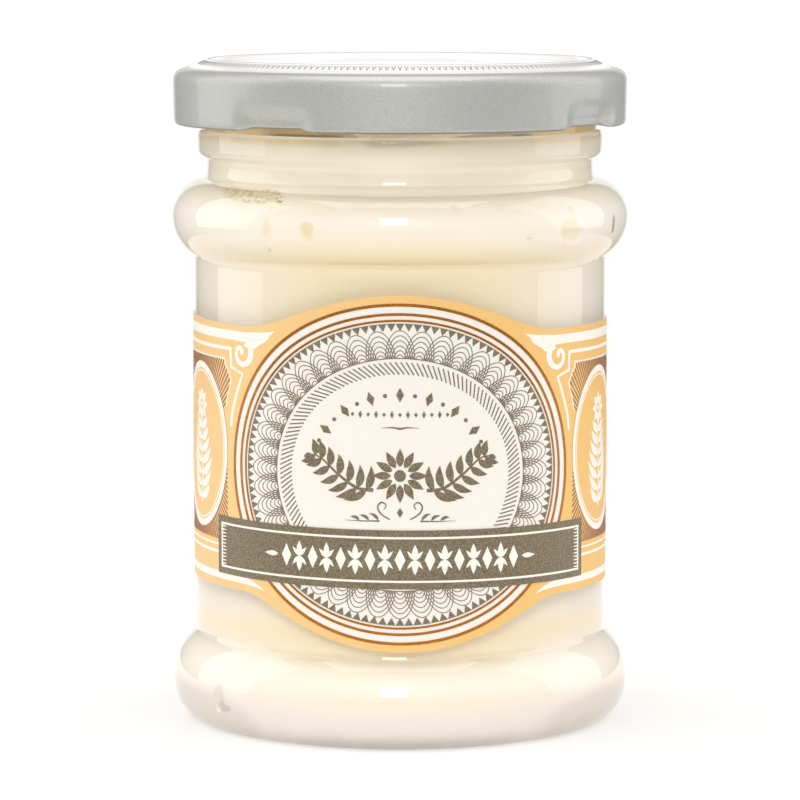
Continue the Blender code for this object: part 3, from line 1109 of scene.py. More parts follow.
@dataclass
class Contents:
    """The mayonnaise: pressed to the glass, with pockets of air and a folded top."""

    jar: GlassJar
    sink: float = 0.00008
    level_z: float = 0.0980
    crease_top_z: float = 0.0970
    crease_low_z: float = 0.0952
    crown: float = 0.0014
    fold: float = 0.0011
    ripple: float = 0.00066
    rim_wave: float = 0.0004
    rings: int = 26
    fine_step: float = 0.0004
    coarse_step: float = 0.0016
    front_half_angle: float = 100.0
    front_columns: int = 300
    back_columns: int = 60
    fall_back_z: float = 0.0956
    fall_back_full_z: float = 0.0965
    fall_back_depth: float = 0.0009
    fall_back_window: Window = Window(-48.0, 5.0, 46.0, 5.0)
    lobe_window: Window = Window(-18.5, 3.0, 38.0, 4.0)
    crease_left: float = math.radians(-17.0)
    crease_low: float = math.radians(-7.0)
    crease_right: float = math.radians(36.0)
    crease_depth: float = 0.0003
    crease_half_width: float = 0.0004
    hidden_from_z: float = 0.020
    hidden_to_z: float = 0.068
    pockets: tuple[Pocket, ...] = (
        Pocket(-43.6, 0.08580, 0.0062, 0.00060, 0.00005, 2.4),
        Pocket(-48.6, 0.08540, 0.0009, 0.00040, 0.00008),
        Pocket(-45.2, 0.08535, 0.0008, 0.00040, 0.00008),
        Pocket(-33.5, 0.08555, 0.0005, 0.00040, 0.0005),
        Pocket(-23.8, 0.08170, 0.0010, 0.00140, 0.0007, 2.0, -0.35),
        Pocket(-35.8, 0.08170, 0.0008, 0.00190, 0.0003),
        Pocket(50.3, 0.08140, 0.0022, 0.00170, 0.0003, 5.0),
        Pocket(69.7, 0.08160, 0.0003, 0.00150, 0.0003),
        Pocket(-53.8, 0.00620, 0.0013, 0.00210, 0.0009, 1.3, 0.25),
        Pocket(-35.4, 0.08440, 0.0003, 0.00030, 0.0005),
        Pocket(34.8, 0.08060, 0.0003, 0.00030, 0.0005),
        Pocket(49.1, 0.08410, 0.0003, 0.00030, 0.0005),
        Pocket(14.4, 0.08500, 0.0003, 0.00030, 0.0005),
        Pocket(-36.4, 0.07910, 0.0003, 0.00030, 0.0005),
    )

    def fold_height(self, azimuth: float, radius: float) -> float:
        """Height of the folded top above its level.

        Args:
            azimuth: The azimuth from the front.
            radius: The radius.

        Returns:
            The height.
        """
        reach = min(radius / self.jar.mouth_radius, 1.0)
        turn = azimuth - math.pi / 2.0
        inside = 1.0 - reach ** 4
        return (self.crown * (1.0 - reach * reach)
                + self.fold * reach * inside * math.sin(2.0 * turn + 5.0 * reach)
                + self.ripple * reach * reach * inside * math.cos(5.0 * turn - 4.0 * reach)
                + self.rim_wave * reach ** 3 * math.sin(3.0 * turn + 0.8))

    def crease_z(self, azimuth: float) -> float:
        """Height of the crease under the lobe that is pressed to the glass in front.

        Args:
            azimuth: The azimuth from the front.

        Returns:
            The height.
        """
        if azimuth < self.crease_low:
            share = smooth_step((azimuth - self.crease_left) / (self.crease_low - self.crease_left))
        else:
            share = smooth_step((self.crease_right - azimuth)
                                / (self.crease_right - self.crease_low))
        return blend(share, self.crease_top_z, self.crease_low_z)

    def warp(self, azimuth: float, radius: float, height: float) -> Point:
        """Where a corner of the smooth turned shape really is.

        Args:
            azimuth: The corner's azimuth.
            radius: Its radius.
            height: Its height.

        Returns:
            Its own radius and height.
        """
        azimuth = (azimuth + math.pi) % math.tau - math.pi
        if height > self.level_z - TINY:
            rise = self.fold_height(azimuth, radius)
            back = self.fall_back(azimuth, self.level_z)
            back *= smooth_step(radius / self.jar.mouth_radius)
            return radius - back, height + rise
        back = self.fall_back(azimuth, height)
        back += sum(pocket.depth * pocket.share(azimuth, radius, height) for pocket in self.pockets)
        return radius - back, height

    def fall_back(self, azimuth: float, height: float) -> float:
        """How far the mayonnaise stands back from the glass near its top.

        Args:
            azimuth: The azimuth from the front.
            height: The height.

        Returns:
            The distance.
        """
        rise = (height - self.fall_back_z) / (self.fall_back_full_z - self.fall_back_z)
        lobe = self.lobe_window.share(azimuth)
        plain = self.fall_back_depth * smooth_step(rise) * (1.0 - lobe)
        plain *= self.fall_back_window.share(azimuth)
        off = (height - self.crease_z(azimuth)) / self.crease_half_width
        return plain + self.crease_depth * lobe * math.exp(-off * off)

    def step_at(self, point: Point) -> float:
        """Longest piece of the profile at a point: fine where the glass is bare."""
        behind_label = self.hidden_from_z < point[1] < self.hidden_to_z
        return self.coarse_step if behind_label else self.fine_step

    def columns(self) -> list[float]:
        """Azimuths of the columns, closer together in front.

        Returns:
            The azimuths, in order round the axis.
        """
        half = math.radians(self.front_half_angle)
        front = [-half + 2.0 * half * index / self.front_columns
                 for index in range(self.front_columns)]
        rest = math.tau - 2.0 * half
        return front + [half + rest * index / self.back_columns for index in range(self.back_columns)]

    def build(self) -> None:
        """Make the mayonnaise."""
        wall = [point for point in moved_left(self.jar.inside(), -self.sink)
                if point[1] < self.level_z - self.jar.fillet]
        edge = self.jar.mouth_radius + self.sink
        wall = resampled([*wall, (edge, self.level_z - self.fine_step)], self.step_at)
        wall[0] = (0.0, wall[0][1])
        top = [(edge * index / self.rings, self.level_z) for index in range(self.rings + 1)]
        cream = turned("mayonnaise_fill", top + wall[::-1], self.columns(), Cream().material(),
                       self.warp)
        finished(cream, "mayonnaise")


# The lid


class LidCoat(Enum):
    """The lid's coats and its two bands of painted shade, by the number of their material."""

    SILVER = 0
    WHITE = 1
    RIDGE_SHADE = 2
    CURL_SHADE = 3


@dataclass
class TwistOffLid:
    """The pressed lid: recessed panel, ridge, printed flank, shoulder, skirt and lugs."""

    sheet: float = 0.0005
    panel_z: float = 0.10635
    button_radius: float = 0.0208
    button_step_radius: float = 0.0222
    button_step_z: float = 0.1066
    panel_edge_radius: float = 0.0291
    panel_edge_z: float = 0.1067
    ridge_inner_radius: float = 0.0304
    ridge_inner_z: float = 0.10745
    ridge_radius: float = 0.0311
    ridge_z: float = 0.1076
    # Where the ridge's painted grey shade ends down the flank, as a share of it and as a height
    ridge_shade_share: float = 0.07
    ridge_shade_z: float = 0.10748
    flank_radius: float = 0.0340
    flank_z: float = 0.1062
    skirt_top_radius: float = 0.03682
    white_overlap: float = 0.0001
    shoulder_z: float = 0.1040
    shoulder_power: float = 2.4
    skirt_low_radius: float = 0.0367
    skirt_shares: tuple[float, ...] = (0.2, 0.4, 0.55, 0.65, 0.75, 0.85, 0.93, 1.0)
    curl_radius: float = 0.00072
    curl_under: float = -0.7
    bottom_z: float = 0.0970
    lug_count: int = 4
    first_lug: float = -33.0
    lug_half_width: float = 13.0
    lug_flat_half_width: float = 6.5
    lug_depth: float = 0.0011
    lug_lift: float = 0.00045
    lug_top_z: float = 0.1018
    columns: int = 288
    mark_count: int = 200
    mark_from: float = 0.0013
    mark_length: float = 0.0013
    mark_width: float = 0.00021
    mark_spread: float = 0.30
    film: float = 0.00003

    @property
    def curl_top_z(self) -> float:
        """Height of the rolled foot's top."""
        return self.bottom_z + self.curl_radius * 2.0

    def outside(self) -> list[Point]:
        """The outer face, from the centre of the panel to the foot of the skirt.

        Returns:
            The radius and height of each point.
        """
        panel = [(0.0, self.panel_z), (self.button_radius, self.panel_z),
                 *arc_between((self.button_radius, self.panel_z),
                              (self.button_step_radius, self.button_step_z), 4),
                 (self.panel_edge_radius, self.panel_edge_z),
                 *arc_between((self.panel_edge_radius, self.panel_edge_z),
                              (self.ridge_inner_radius, self.ridge_inner_z), 5)]
        ridge = arc_between((self.ridge_inner_radius, self.ridge_inner_z),
                            (self.ridge_radius, self.ridge_z), 3)
        shoulder = super_quarter((self.flank_radius, self.shoulder_z),
                                 (self.skirt_top_radius - self.flank_radius,
                                  self.flank_z - self.shoulder_z),
                                 self.shoulder_power, 88, 0, 14)
        skirt = [(blend(share, self.skirt_top_radius, self.skirt_low_radius),
                  blend(share, self.shoulder_z, self.bottom_z + self.curl_radius))
                 for share in self.skirt_shares]
        flank = [(blend(share, self.ridge_radius, self.flank_radius),
                  blend(share, self.ridge_z, self.flank_z)) for share in (0.0, self.ridge_shade_share, 1.0)]
        return panel + ridge + flank + shoulder + skirt

    def profile(self) -> list[Point]:
        """The whole section: outer face, rolled foot and inner face.

        Returns:
            The radius and height of each point.
        """
        outside = self.outside()
        curl = arc((self.skirt_low_radius - self.curl_radius, self.bottom_z + self.curl_radius),
                   self.curl_radius, -15, -225, 10)
        inside = moved_left(outside[:-1], -self.sheet)
        inside[0] = (0.0, inside[0][1])
        inside.append((self.skirt_low_radius - self.sheet, self.curl_top_z))
        return outside + curl + inside[::-1]

    def warp(self, azimuth: float, radius: float, height: float) -> Point:
        """Press the skirt's foot in and up at each lug.

        Args:
            azimuth: A corner's azimuth.
            radius: Its radius.
            height: Its height.

        Returns:
            Its own radius and height.
        """
        if height > self.lug_top_z or radius < self.flank_radius:
            return radius, height
        pitch = 360.0 / self.lug_count
        off = (math.degrees(azimuth) - self.first_lug + pitch / 2.0) % pitch - pitch / 2.0
        share = smooth_step((self.lug_half_width - abs(off))
                            / (self.lug_half_width - self.lug_flat_half_width))
        down = smooth_step((self.lug_top_z - height) / (self.lug_top_z - self.curl_top_z))
        lift = self.lug_lift * share * smooth_step((self.curl_top_z + self.sheet - height)
                                                   / self.sheet)
        return radius - self.lug_depth * share * down, height + lift

    def flank_place(self, across: float, up: float, above: float) -> Vector:
        """A point on the sloping flank.

        Args:
            across: Distance round, measured at the flank's foot.
            up: Distance up the slope from its foot.
            above: Height above the lacquer.

        Returns:
            The point.
        """
        run = self.flank_radius - self.ridge_radius
        rise = self.ridge_z - self.flank_z
        length = math.hypot(run, rise)
        radius = self.flank_radius - up * run / length + above * rise / length
        height = self.flank_z + up * rise / length + above * run / length
        return on_circle(radius, across / self.flank_radius, height)

    def build_marks(self) -> None:
        """Print the ring of small wedge marks on the flank."""
        press = Press(self.flank_place)
        pitch = math.tau * self.flank_radius / self.mark_count
        for index in range(self.mark_count):
            centre = pitch * index
            top = self.mark_from + self.mark_length
            for side in SIDES:
                press.stroke([(centre, self.mark_from),
                              (centre + side * pitch * self.mark_spread, top)], self.mark_width)
        finished(press.lift("lid_marks", self.film, self.film * 2, MARK))

    def build(self) -> None:
        """Make the lid: white on top with a grey ridge of painted shade, silver round it, and painted
        shade under its foot.
        """
        lid = turned("lid_shell", self.profile(), even_turn(self.columns),
                     SilverLacquer().material(), self.warp)
        for finish in (WhiteLacquer(), RIDGE_SHADE_GREY, CURL_SHADE_INK):
            lid.data.materials.append(finish.material())
        for face in lid.data.polygons:
            face.material_index = self.coat_of(face).value
        finished(lid, "lid")
        self.build_marks()

    def coat_of(self, face: bpy.types.MeshPolygon) -> LidCoat:
        """Choose a face's coat.

        Args:
            face: A face of the lid.

        Returns:
            Its coat.
        """
        x, y, z = face.center
        on_top = z > self.panel_z - self.sheet / 2.0 and face.normal.z > 0.0
        if on_top and math.hypot(x, y) < self.flank_radius + self.white_overlap:
            # The ridge's crest takes the painted grey shade
            return LidCoat.RIDGE_SHADE if z > self.ridge_shade_z else LidCoat.WHITE
        # The foot's underside takes the painted shade
        if face.normal.z < self.curl_under and z < self.curl_top_z:
            return LidCoat.CURL_SHADE
        return LidCoat.SILVER


# The label


@dataclass(frozen=True)
class Oval:
    """An upright oval on the label, in millimetres."""

    centre: Point
    breadth: float

    def point(self, turn: float, reach: float) -> Point:
        """A point on the oval.

        Args:
            turn: The angle clockwise from the top.
            reach: The oval's half height.

        Returns:
            The point.
        """
        return (self.centre[0] + reach * self.breadth * math.sin(turn),
                self.centre[1] + reach * math.cos(turn))

    def line(self, reach: float, steps: int = 180) -> list[Point]:
        """The oval's outline, as points."""
        return [self.point(math.tau * index / steps, reach) for index in range(steps)]


def draw_petals(press: Press, centre: Point, count: int, reach: Point, width: float) -> None:
    """Draw a ring of petals.

    Args:
        press: Where it goes.
        centre: The ring's middle.
        count: How many petals there are.
        reach: How far from the middle a petal starts and ends.
        width: A petal's width.
    """
    for index in range(count):
        angle = math.tau * index / count
        root, tip = ((centre[0] + math.sin(angle) * distance, centre[1] + math.cos(angle) * distance)
                     for distance in reach)
        press.leaf(root, tip, width)


@dataclass
class Label:
    """The wrapped label: its cut, its printed fields and its ornament, in millimetres."""

    reference_radius: float = 33.80
    paper_inside: float = 33.56
    paper_outside: float = 33.72
    film: float = 0.035
    half_angle: float = 165.0
    tilt: float = 0.45
    band_top: float = 65.9
    band_bottom: float = 23.5
    half_height: float = 28.1
    half_width: float = 31.8
    fillet: float = 6.5
    medallion: Oval = Oval((0.0, 43.7), 1.13)
    field_reach: float = 26.92
    copper_rings: tuple[Point, ...] = ((26.92, 26.45), (25.42, 25.00), (24.40, 24.06))
    tooth_count: int = 120
    tooth_base: float = 23.80
    tooth_tip: float = 22.58
    scallop_count: int = 44
    scallop_foot: float = 18.40
    scallop_arcs: tuple[Point, ...] = ((0.76, 4.30), (0.65, 3.50), (0.54, 2.70),
                                      (0.43, 1.90), (0.31, 1.15), (0.18, 0.50))
    scallop_power: float = 1.4
    scallop_line: float = 0.135
    scallop_foot_drop: float = 0.05
    scallop_foot_line: float = 0.16
    hatch_count: int = 148
    hatch_edges: Point = (17.75, 15.85)
    hatch_slant: float = 0.075
    hatch_line: float = 0.21
    lozenge_arc: Point = (0.165, 12.6)
    lozenge_row_z: float = 53.2
    lozenge_row_pitch: float = 1.25
    banner_half_width: float = 34.9
    banner_bottom: float = 25.7
    banner_top: float = 35.0
    banner_inset: float = 1.2
    banner_line: float = 0.34
    banner_ticks: int = 12
    banner_tick: float = 1.25
    running_leaf_pitch: float = 4.7
    running_leaf_reach: int = 4
    side_oval_s: float = 41.7
    side_oval_z: float = 45.7
    side_oval_half_height: float = 13.35
    side_oval_breadth: float = 0.719
    side_oval_rings: tuple[Point, ...] = ((0.0, 1.05), (1.35, 1.6))
    side_disc_inset: float = 0.9
    side_stroke_count: int = 130
    panel_corners: tuple[Point, ...] = ((8.7, 14.7), (10.7, 11.3), (9.3, 7.4))
    panel_half_width: float = 9.6
    panel_bottom: float = 30.9

    @property
    def centre_z(self) -> float:
        """Height of the medallion's middle."""
        return self.medallion.centre[1]

    def place(self, across: float, up: float, above: float) -> Vector:
        """A point of the label on the jar.

        Args:
            across: Arc length to the right of the front, in millimetres.
            up: Height, before the label's small tilt.
            above: Height over the paper.

        Returns:
            The point in metres.
        """
        drop = across * math.tan(math.radians(self.tilt))
        return on_circle((self.paper_outside + above) * MM, across / self.reference_radius,
                         (up - drop) * MM)

    def edge(self, across: float, band: float) -> float:
        """Distance of the paper's edge from the medallion's centre line.

        Args:
            across: The arc length.
            band: That distance on the plain band.

        Returns:
            The distance, with a fillet where band and medallion meet.
        """
        reach = min(abs(across) / self.half_width, 1.0)
        oval = self.half_height * math.sqrt(1.0 - reach * reach)
        near = max(self.fillet - abs(oval - band), 0.0) / self.fillet
        return max(oval, band) + near * near * self.fillet / 4.0

    def top_edge(self, across: float) -> Point:
        """A point of the paper's upper edge."""
        return across, self.centre_z + self.edge(across, self.band_top - self.centre_z)

    def low_edge(self, across: float) -> Point:
        """A point of the paper's lower edge."""
        return across, self.centre_z - self.edge(across, self.centre_z - self.band_bottom)

    def spread(self, start: float, end: float, step: float = 1.0) -> list[float]:
        """Arc lengths from start to end, evenly spaced."""
        count = max(2, math.ceil(abs(end - start) / step))
        return [blend(index / count, start, end) for index in range(count + 1)]

    def film_piece(self, press: Press, name: str, layer: int, ink: Ink) -> None:
        """Lay one printed layer on the paper.

        Args:
            press: The shapes gathered.
            name: The piece's name.
            layer: Its number, from 1 on the paper upwards.
            ink: Its ink.
        """
        piece = press.lift(name, self.film * layer, self.film * 1.5, ink)
        finished(piece)

    def build_paper(self) -> None:
        """Cut the paper."""
        press = Press(self.place)
        end = math.radians(self.half_angle) * self.reference_radius
        along = self.spread(-end, end, 0.8)
        press.band([self.top_edge(s) for s in along], [self.low_edge(s) for s in along])
        sheet = press.lift("label_sheet", 0.0, self.paper_outside - self.paper_inside, PaperStock())
        finished(sheet, "label")

    def build_field(self) -> None:
        """Print the peach field round the medallion."""
        press = Press(self.place)
        reach = self.field_reach
        half = reach * self.medallion.breadth
        turns = [math.pi * index / 120 - math.pi / 2 for index in range(121)]
        upper = [self.medallion.point(turn, reach) for turn in turns]
        lower = [self.medallion.point(math.pi - turn, reach) for turn in turns]
        press.band([self.top_edge(s) for s, _ in upper], upper)
        press.band(lower, [self.low_edge(s) for s, _ in lower])
        end = math.radians(self.half_angle) * self.reference_radius
        for start, stop in ((-end, -half), (half, end)):
            along = self.spread(start, stop)
            press.band([self.top_edge(s) for s in along], [self.low_edge(s) for s in along])
        self.film_piece(press, "label_peach_field", 1, PEACH)

    def build_rings(self) -> None:
        """Stamp the three copper rings."""
        press = Press(self.place)
        for outer, inner in self.copper_rings:
            press.band(self.medallion.line(outer), self.medallion.line(inner), closed=True)
        self.film_piece(press, "label_copper_rings", 2, COPPER)

    def draw_teeth(self, press: Press) -> None:
        """Draw the ring of teeth that points to the medallion's middle.

        Args:
            press: Where it goes.
        """
        pitch = math.tau / self.tooth_count
        for index in range(self.tooth_count):
            turn = pitch * index
            press.patch([self.medallion.point(turn - pitch * 0.5, self.tooth_base),
                         self.medallion.point(turn, self.tooth_tip),
                         self.medallion.point(turn + pitch * 0.5, self.tooth_base)])

    def draw_scallops(self, press: Press) -> None:
        """Draw the nested arches, each of which crosses its neighbours.

        Args:
            press: Where it goes.
        """
        foot = self.scallop_foot
        pitch = math.tau / self.scallop_count
        steps = 16
        for turn in even_turn(self.scallop_count):
            for share, height in self.scallop_arcs:
                path = []
                for index in range(steps + 1):
                    angle = math.pi * index / steps
                    path.append(self.medallion.point(turn - math.cos(angle) * pitch * share,
                                                     foot + height * math.sin(angle)
                                                     ** self.scallop_power))
                press.stroke(path, self.scallop_line)
        press.stroke(self.medallion.line(foot - self.scallop_foot_drop), self.scallop_foot_line,
                     closed=True)

    def draw_hatch(self, press: Press) -> None:
        """Draw the ring of slanting strokes.

        Args:
            press: Where it goes.
        """
        outer, inner = self.hatch_edges
        for index in range(self.hatch_count):
            turn = math.tau * index / self.hatch_count
            press.stroke([self.medallion.point(turn - self.hatch_slant / 2, outer),
                          self.medallion.point(turn + self.hatch_slant / 2, inner)],
                         self.hatch_line)

    def draw_sprig(self, press: Press, side: float) -> None:
        """Draw one of the two leafy sprigs in the medallion's middle.

        Args:
            press: Where it goes.
            side: -1 for the left one and 1 for the right one.
        """
        spine = through([(4.2, 41.3, 0.6), (6.8, 41.6, 0.5), (9.8, 43.6, 0.4),
                         (12.6, 46.0, 0.28), (14.4, 46.6, 0.14)], 8)
        press.stroke([(side * s, z, width) for s, z, width in spine])
        for number in range(4, len(spine) - 4, 4):
            s, z, _ = spine[number]
            length = blend(number / len(spine), 4.1, 2.3)
            lean = blend(number / len(spine), -0.25, 0.25)
            upper = (s + length * math.sin(lean), z + length * math.cos(lean))
            lower = (s + length * 0.95, z - length * 0.42)
            press.leaf((side * s, z), (side * upper[0], upper[1]), 1.3, 0.10 * side)
            press.leaf((side * s, z), (side * lower[0], lower[1]), 1.2, -0.10 * side)
        tip = spine[-1]
        press.leaf((side * tip[0], tip[1]), (side * (tip[0] + 1.3), tip[1] - 0.5), 0.8)

    def draw_middle(self, press: Press) -> None:
        """Draw the ornament in the medallion's middle: a rosette between two sprigs.

        Args:
            press: Where it goes.
        """
        centre = (0.0, 43.6)
        draw_petals(press, centre, 12, (1.4, 4.3), 1.25)
        press.dot(centre, 0.95, 16)
        for side in SIDES:
            self.draw_sprig(press, side)
        step, reach = self.lozenge_arc
        for number in range(-7, 8):
            turn = number * step
            spot = self.medallion.point(turn, reach)
            if number % 2:
                press.dot(spot, 0.34)
            else:
                press.lozenge(spot, (0.62, 1.15), turn)
        for number in range(-6, 7):
            press.lozenge((number * self.lozenge_row_pitch, self.lozenge_row_z),
                          (0.30, 0.62 if number % 2 else 0.36))
        press.stroke([(-3.0, 51.1, 0.05), (-1.2, 51.2, 0.22), (0.0, 51.0, 0.36),
                      (1.2, 51.2, 0.22), (3.0, 51.1, 0.05)])
        self.draw_flourish(press)

    def draw_flourish(self, press: Press) -> None:
        """Draw the small pair of scrolls over the banner.

        Args:
            press: Where it goes.
        """
        for side in SIDES:
            hook = through([(1.6, 36.7, 0.20), (3.0, 37.6, 0.24), (3.5, 38.7, 0.26),
                            (2.9, 39.4, 0.24), (2.2, 39.0, 0.20), (2.5, 38.3, 0.16)], 6)
            press.stroke([(side * s, z, width) for s, z, width in hook])
            for step in range(3):
                root = (side * (3.4 + step * 1.5), 36.5)
                tip = (side * (4.9 + step * 1.5), 37.6 - step * 0.3)
                press.leaf(root, tip, 0.5, 0.16 * side)
            press.stroke([(side * 3.2, 36.45, 0.26), (side * 6.0, 36.4, 0.18), (side * 8.8, 36.45, 0.05)])
        press.lozenge((0.0, 37.8), (0.5, 0.8))

    def build_linework(self) -> None:
        """Print the medallion's olive linework and the taupe ornament in its middle."""
        press = Press(self.place)
        self.draw_teeth(press)
        self.draw_scallops(press)
        self.draw_hatch(press)
        self.film_piece(press, "label_linework", 1, OLIVE)
        ornament = Press(self.place)
        self.draw_middle(ornament)
        self.film_piece(ornament, "label_ornament", 1, TAUPE)

    def banner_edge(self, inset: float, top: bool) -> float:
        """Height of one of the banner's long edges, drawn in by an inset."""
        return self.banner_top - inset if top else self.banner_bottom + inset

    def build_banner(self) -> None:
        """Print the banner with its border, end ticks and running ornament."""
        press = Press(self.place)
        half = self.banner_half_width
        along = self.spread(-half, half)
        press.band([(s, self.banner_top) for s in along], [(s, self.banner_bottom) for s in along])
        self.film_piece(press, "label_banner", 4, TAUPE)
        trim = Press(self.place)
        inset = self.banner_inset
        line = self.banner_line
        inner = self.spread(-half + inset, half - inset)
        for top in (True, False):
            z = self.banner_edge(inset, top)
            trim.stroke([(s, z) for s in inner], line)
        for side in SIDES:
            s = side * (half - inset)
            trim.stroke([(s, self.banner_bottom + inset - line / 2),
                         (s, self.banner_top - inset + line / 2)], line)
            for number in range(self.banner_ticks):
                z = blend((number + 0.8) / (self.banner_ticks + 0.6), self.banner_bottom + inset,
                          self.banner_top - inset)
                trim.stroke([(s, z, 0.30), (s - side * self.banner_tick, z, 0.12)])
        self.draw_running_leaf(trim)
        self.film_piece(trim, "label_banner_trim", 5, CREAM)

    def draw_running_leaf(self, press: Press) -> None:
        """Draw the banner's row of lozenges with a pair of leaves between each two.

        Args:
            press: Where it goes.
        """
        middle = (self.banner_top + self.banner_bottom) / 2.0
        pitch = self.running_leaf_pitch
        reach = self.running_leaf_reach
        for number in range(-reach, reach + 1):
            press.lozenge((number * pitch, middle), (0.85, 1.8))
            if number == reach:
                break
            between = (number + 0.5) * pitch
            for up in (-1.0, 1.0):
                press.leaf((between, middle + up * 0.15), (between, middle + up * 2.4), 0.95)
                for side in SIDES:
                    press.leaf((between, middle), (between + side * 1.25, middle + up * 1.4), 0.6)
        for side in SIDES:
            end = side * (reach * pitch + 1.6)
            press.leaf((end, middle), (end + side * 2.6, middle), 0.8)

    def side_frame(self, press: Press, side: float) -> None:
        """Draw the cream frame lines, the wing and the volute of one side.

        Args:
            press: Where they go.
            side: -1 for the left one and 1 for the right one.
        """
        mirror = 2.0 * self.side_oval_s
        back = math.radians(self.half_angle) * self.reference_radius - 3.0

        def draw(points: Sequence[Sequence[float]], mirrored: bool = False) -> None:
            """Draw a line on this side, as it is or mirrored about the side oval."""
            press.stroke([(side * (mirror - point[0] if mirrored else point[0]), *point[1:])
                          for point in points])

        draw([(s, 64.2, 1.45) for s in self.spread(back, 30.0)])
        draw(through([(30.0, 64.2, 1.45), (27.0, 64.15, 1.6), (24.5, 64.35, 1.5),
                      (22.6, 64.85, 0.8), (21.0, 65.5, 0.04)], 6))
        draw(through([(27.0, 63.7, 1.3), (24.9, 63.4, 0.9), (23.0, 64.0, 0.5), (22.0, 64.6, 0.04)], 6))
        draw(through([(27.4, 63.3, 1.3), (25.6, 62.7, 0.7), (24.3, 63.1, 0.04)], 6))
        draw(through([(27.3, 63.9, 1.0), (26.3, 62.7, 1.15), (26.1, 61.3, 1.1), (26.9, 60.1, 0.95),
                      (28.3, 59.8, 0.8), (29.4, 60.6, 0.7), (29.5, 61.8, 0.7), (28.8, 62.4, 0.75),
                      (28.2, 61.9, 0.8), (28.3, 61.3, 0.5)], 7))
        for mirrored in (False, True):
            draw([(s, z, 0.55) for s, z in
                  ((31.2, 62.2), (30.95, 59.1), (28.1, 58.2), (29.4, 55.4), (30.6, 52.3), (31.1, 49.6))],
                 mirrored)
            draw([(s, z, 0.30) for s, z in
                  ((33.0, 60.4), (32.6, 59.3), (31.0, 57.0), (32.0, 54.4), (32.5, 52.6))], mirrored)
        for z, width, start, end in ((62.0, 0.55, mirror - 31.2, 31.0),
                                     (60.25, 0.30, mirror - 33.0, 32.9),
                                     (62.0, 0.45, back, mirror - 28.0),
                                     (30.2, 0.30, back, 33.0), (29.0, 0.45, back, 33.0),
                                     (25.3, 1.15, back, 30.0)):
            draw([(s, z, width) for s in self.spread(start, end)])
        draw(through([(30.0, 25.3, 1.15), (27.0, 25.1, 1.0), (24.8, 24.6, 0.5), (23.4, 24.0, 0.04)], 6))

    def hatch_reach(self, oval: Oval, turn: float) -> float:
        """How far the side panel's brown strokes reach from the oval, in oval half heights.

        Args:
            oval: The side's oval.
            turn: The stroke's turn.

        Returns:
            The half height of the like oval at the stroke's end.
        """
        corners = self.panel_corners
        right, up = abs(math.sin(turn)) * oval.breadth, math.cos(turn)
        if up < 0.0:
            low_reach = (self.side_oval_z - self.panel_bottom) / max(-up, 0.01)
            return min(low_reach, self.panel_half_width / max(right, 0.01))
        top_reach = corners[0][1] / max(up, 0.01)
        for start, end in zip(corners, corners[1:]):
            cross = (end[0] - start[0]) * up - (end[1] - start[1]) * right
            if abs(cross) < TINY:
                continue
            reach = ((end[0] - start[0]) * start[1] - (end[1] - start[1]) * start[0]) / cross
            hit = (reach * right - start[0]) / (end[0] - start[0])
            if 0.0 <= hit <= 1.0:
                return reach
        return top_reach if top_reach * right < corners[0][0] else 0.0

    def build_sides(self) -> None:
        """Print both side panels: frame, brown strokes, oval and its spray of leaves."""
        frames = Press(self.place)
        strokes = Press(self.place)
        discs = Press(self.place)
        sprays = Press(self.place)
        rings = Press(self.place)
        reach = self.side_oval_half_height
        for side in SIDES:
            oval = Oval((side * self.side_oval_s, self.side_oval_z), self.side_oval_breadth)
            self.side_frame(frames, side)
            for index in range(self.side_stroke_count):
                turn = math.tau * (index + 0.5) / self.side_stroke_count
                end = self.hatch_reach(oval, turn)
                if end > reach + 0.4:
                    strokes.stroke([(*oval.point(turn, reach - 0.3), 0.24),
                                    (*oval.point(turn, end - 0.2), 0.34)])
            for outer, inner in self.side_oval_rings:
                rings.band(oval.line(reach - outer, 96), oval.line(reach - inner, 96), closed=True)
            tall = reach - self.side_disc_inset
            half = tall * oval.breadth
            along = [half * math.sin(math.pi * index / 24) for index in range(-12, 13)]
            upper, lower = ([(oval.centre[0] + s, oval.centre[1] + sign * tall
                              * math.sqrt(max(1.0 - (s / half) ** 2, 0.0))) for s in along]
                            for sign in (1.0, -1.0))
            discs.band(upper, lower)
            self.draw_spray(sprays, oval)
        self.film_piece(strokes, "label_brown_strokes", 2, BROWN)
        self.film_piece(frames, "label_cream_frames", 2, CREAM)
        self.film_piece(discs, "label_side_ovals", 3, PEACH)
        self.film_piece(rings, "label_side_rings", 4, CREAM)
        self.film_piece(sprays, "label_side_sprays", 4, CREAM)

    def draw_spray(self, press: Press, oval: Oval) -> None:
        """Draw an upright spray of leaves with a flower on top inside a side oval.

        Args:
            press: Where it goes.
            oval: The side's oval.
        """
        s, z = oval.centre
        press.stroke(through([(s, z - 9.5, 0.5), (s + 0.3, z - 4.0, 0.42), (s - 0.2, z + 1.0, 0.35),
                              (s, z + 5.0, 0.3)], 6))
        for number in range(7):
            root_z = z - 8.6 + number * 1.9
            length = 4.9 - abs(number - 2.0) * 0.5
            for side in SIDES:
                press.leaf((s, root_z), (s + side * length * 0.9, root_z + length * 0.62),
                           1.45, -0.12 * side)
        flower = (s, z + 6.4)
        draw_petals(press, flower, 8, (0.7, 2.7), 1.2)
        press.dot(flower, 0.42)

    def build(self) -> None:
        """Make the paper and everything printed on it."""
        self.build_paper()
        self.build_field()
        self.build_rings()
        self.build_linework()
        self.build_sides()
        self.build_banner()


# The studio


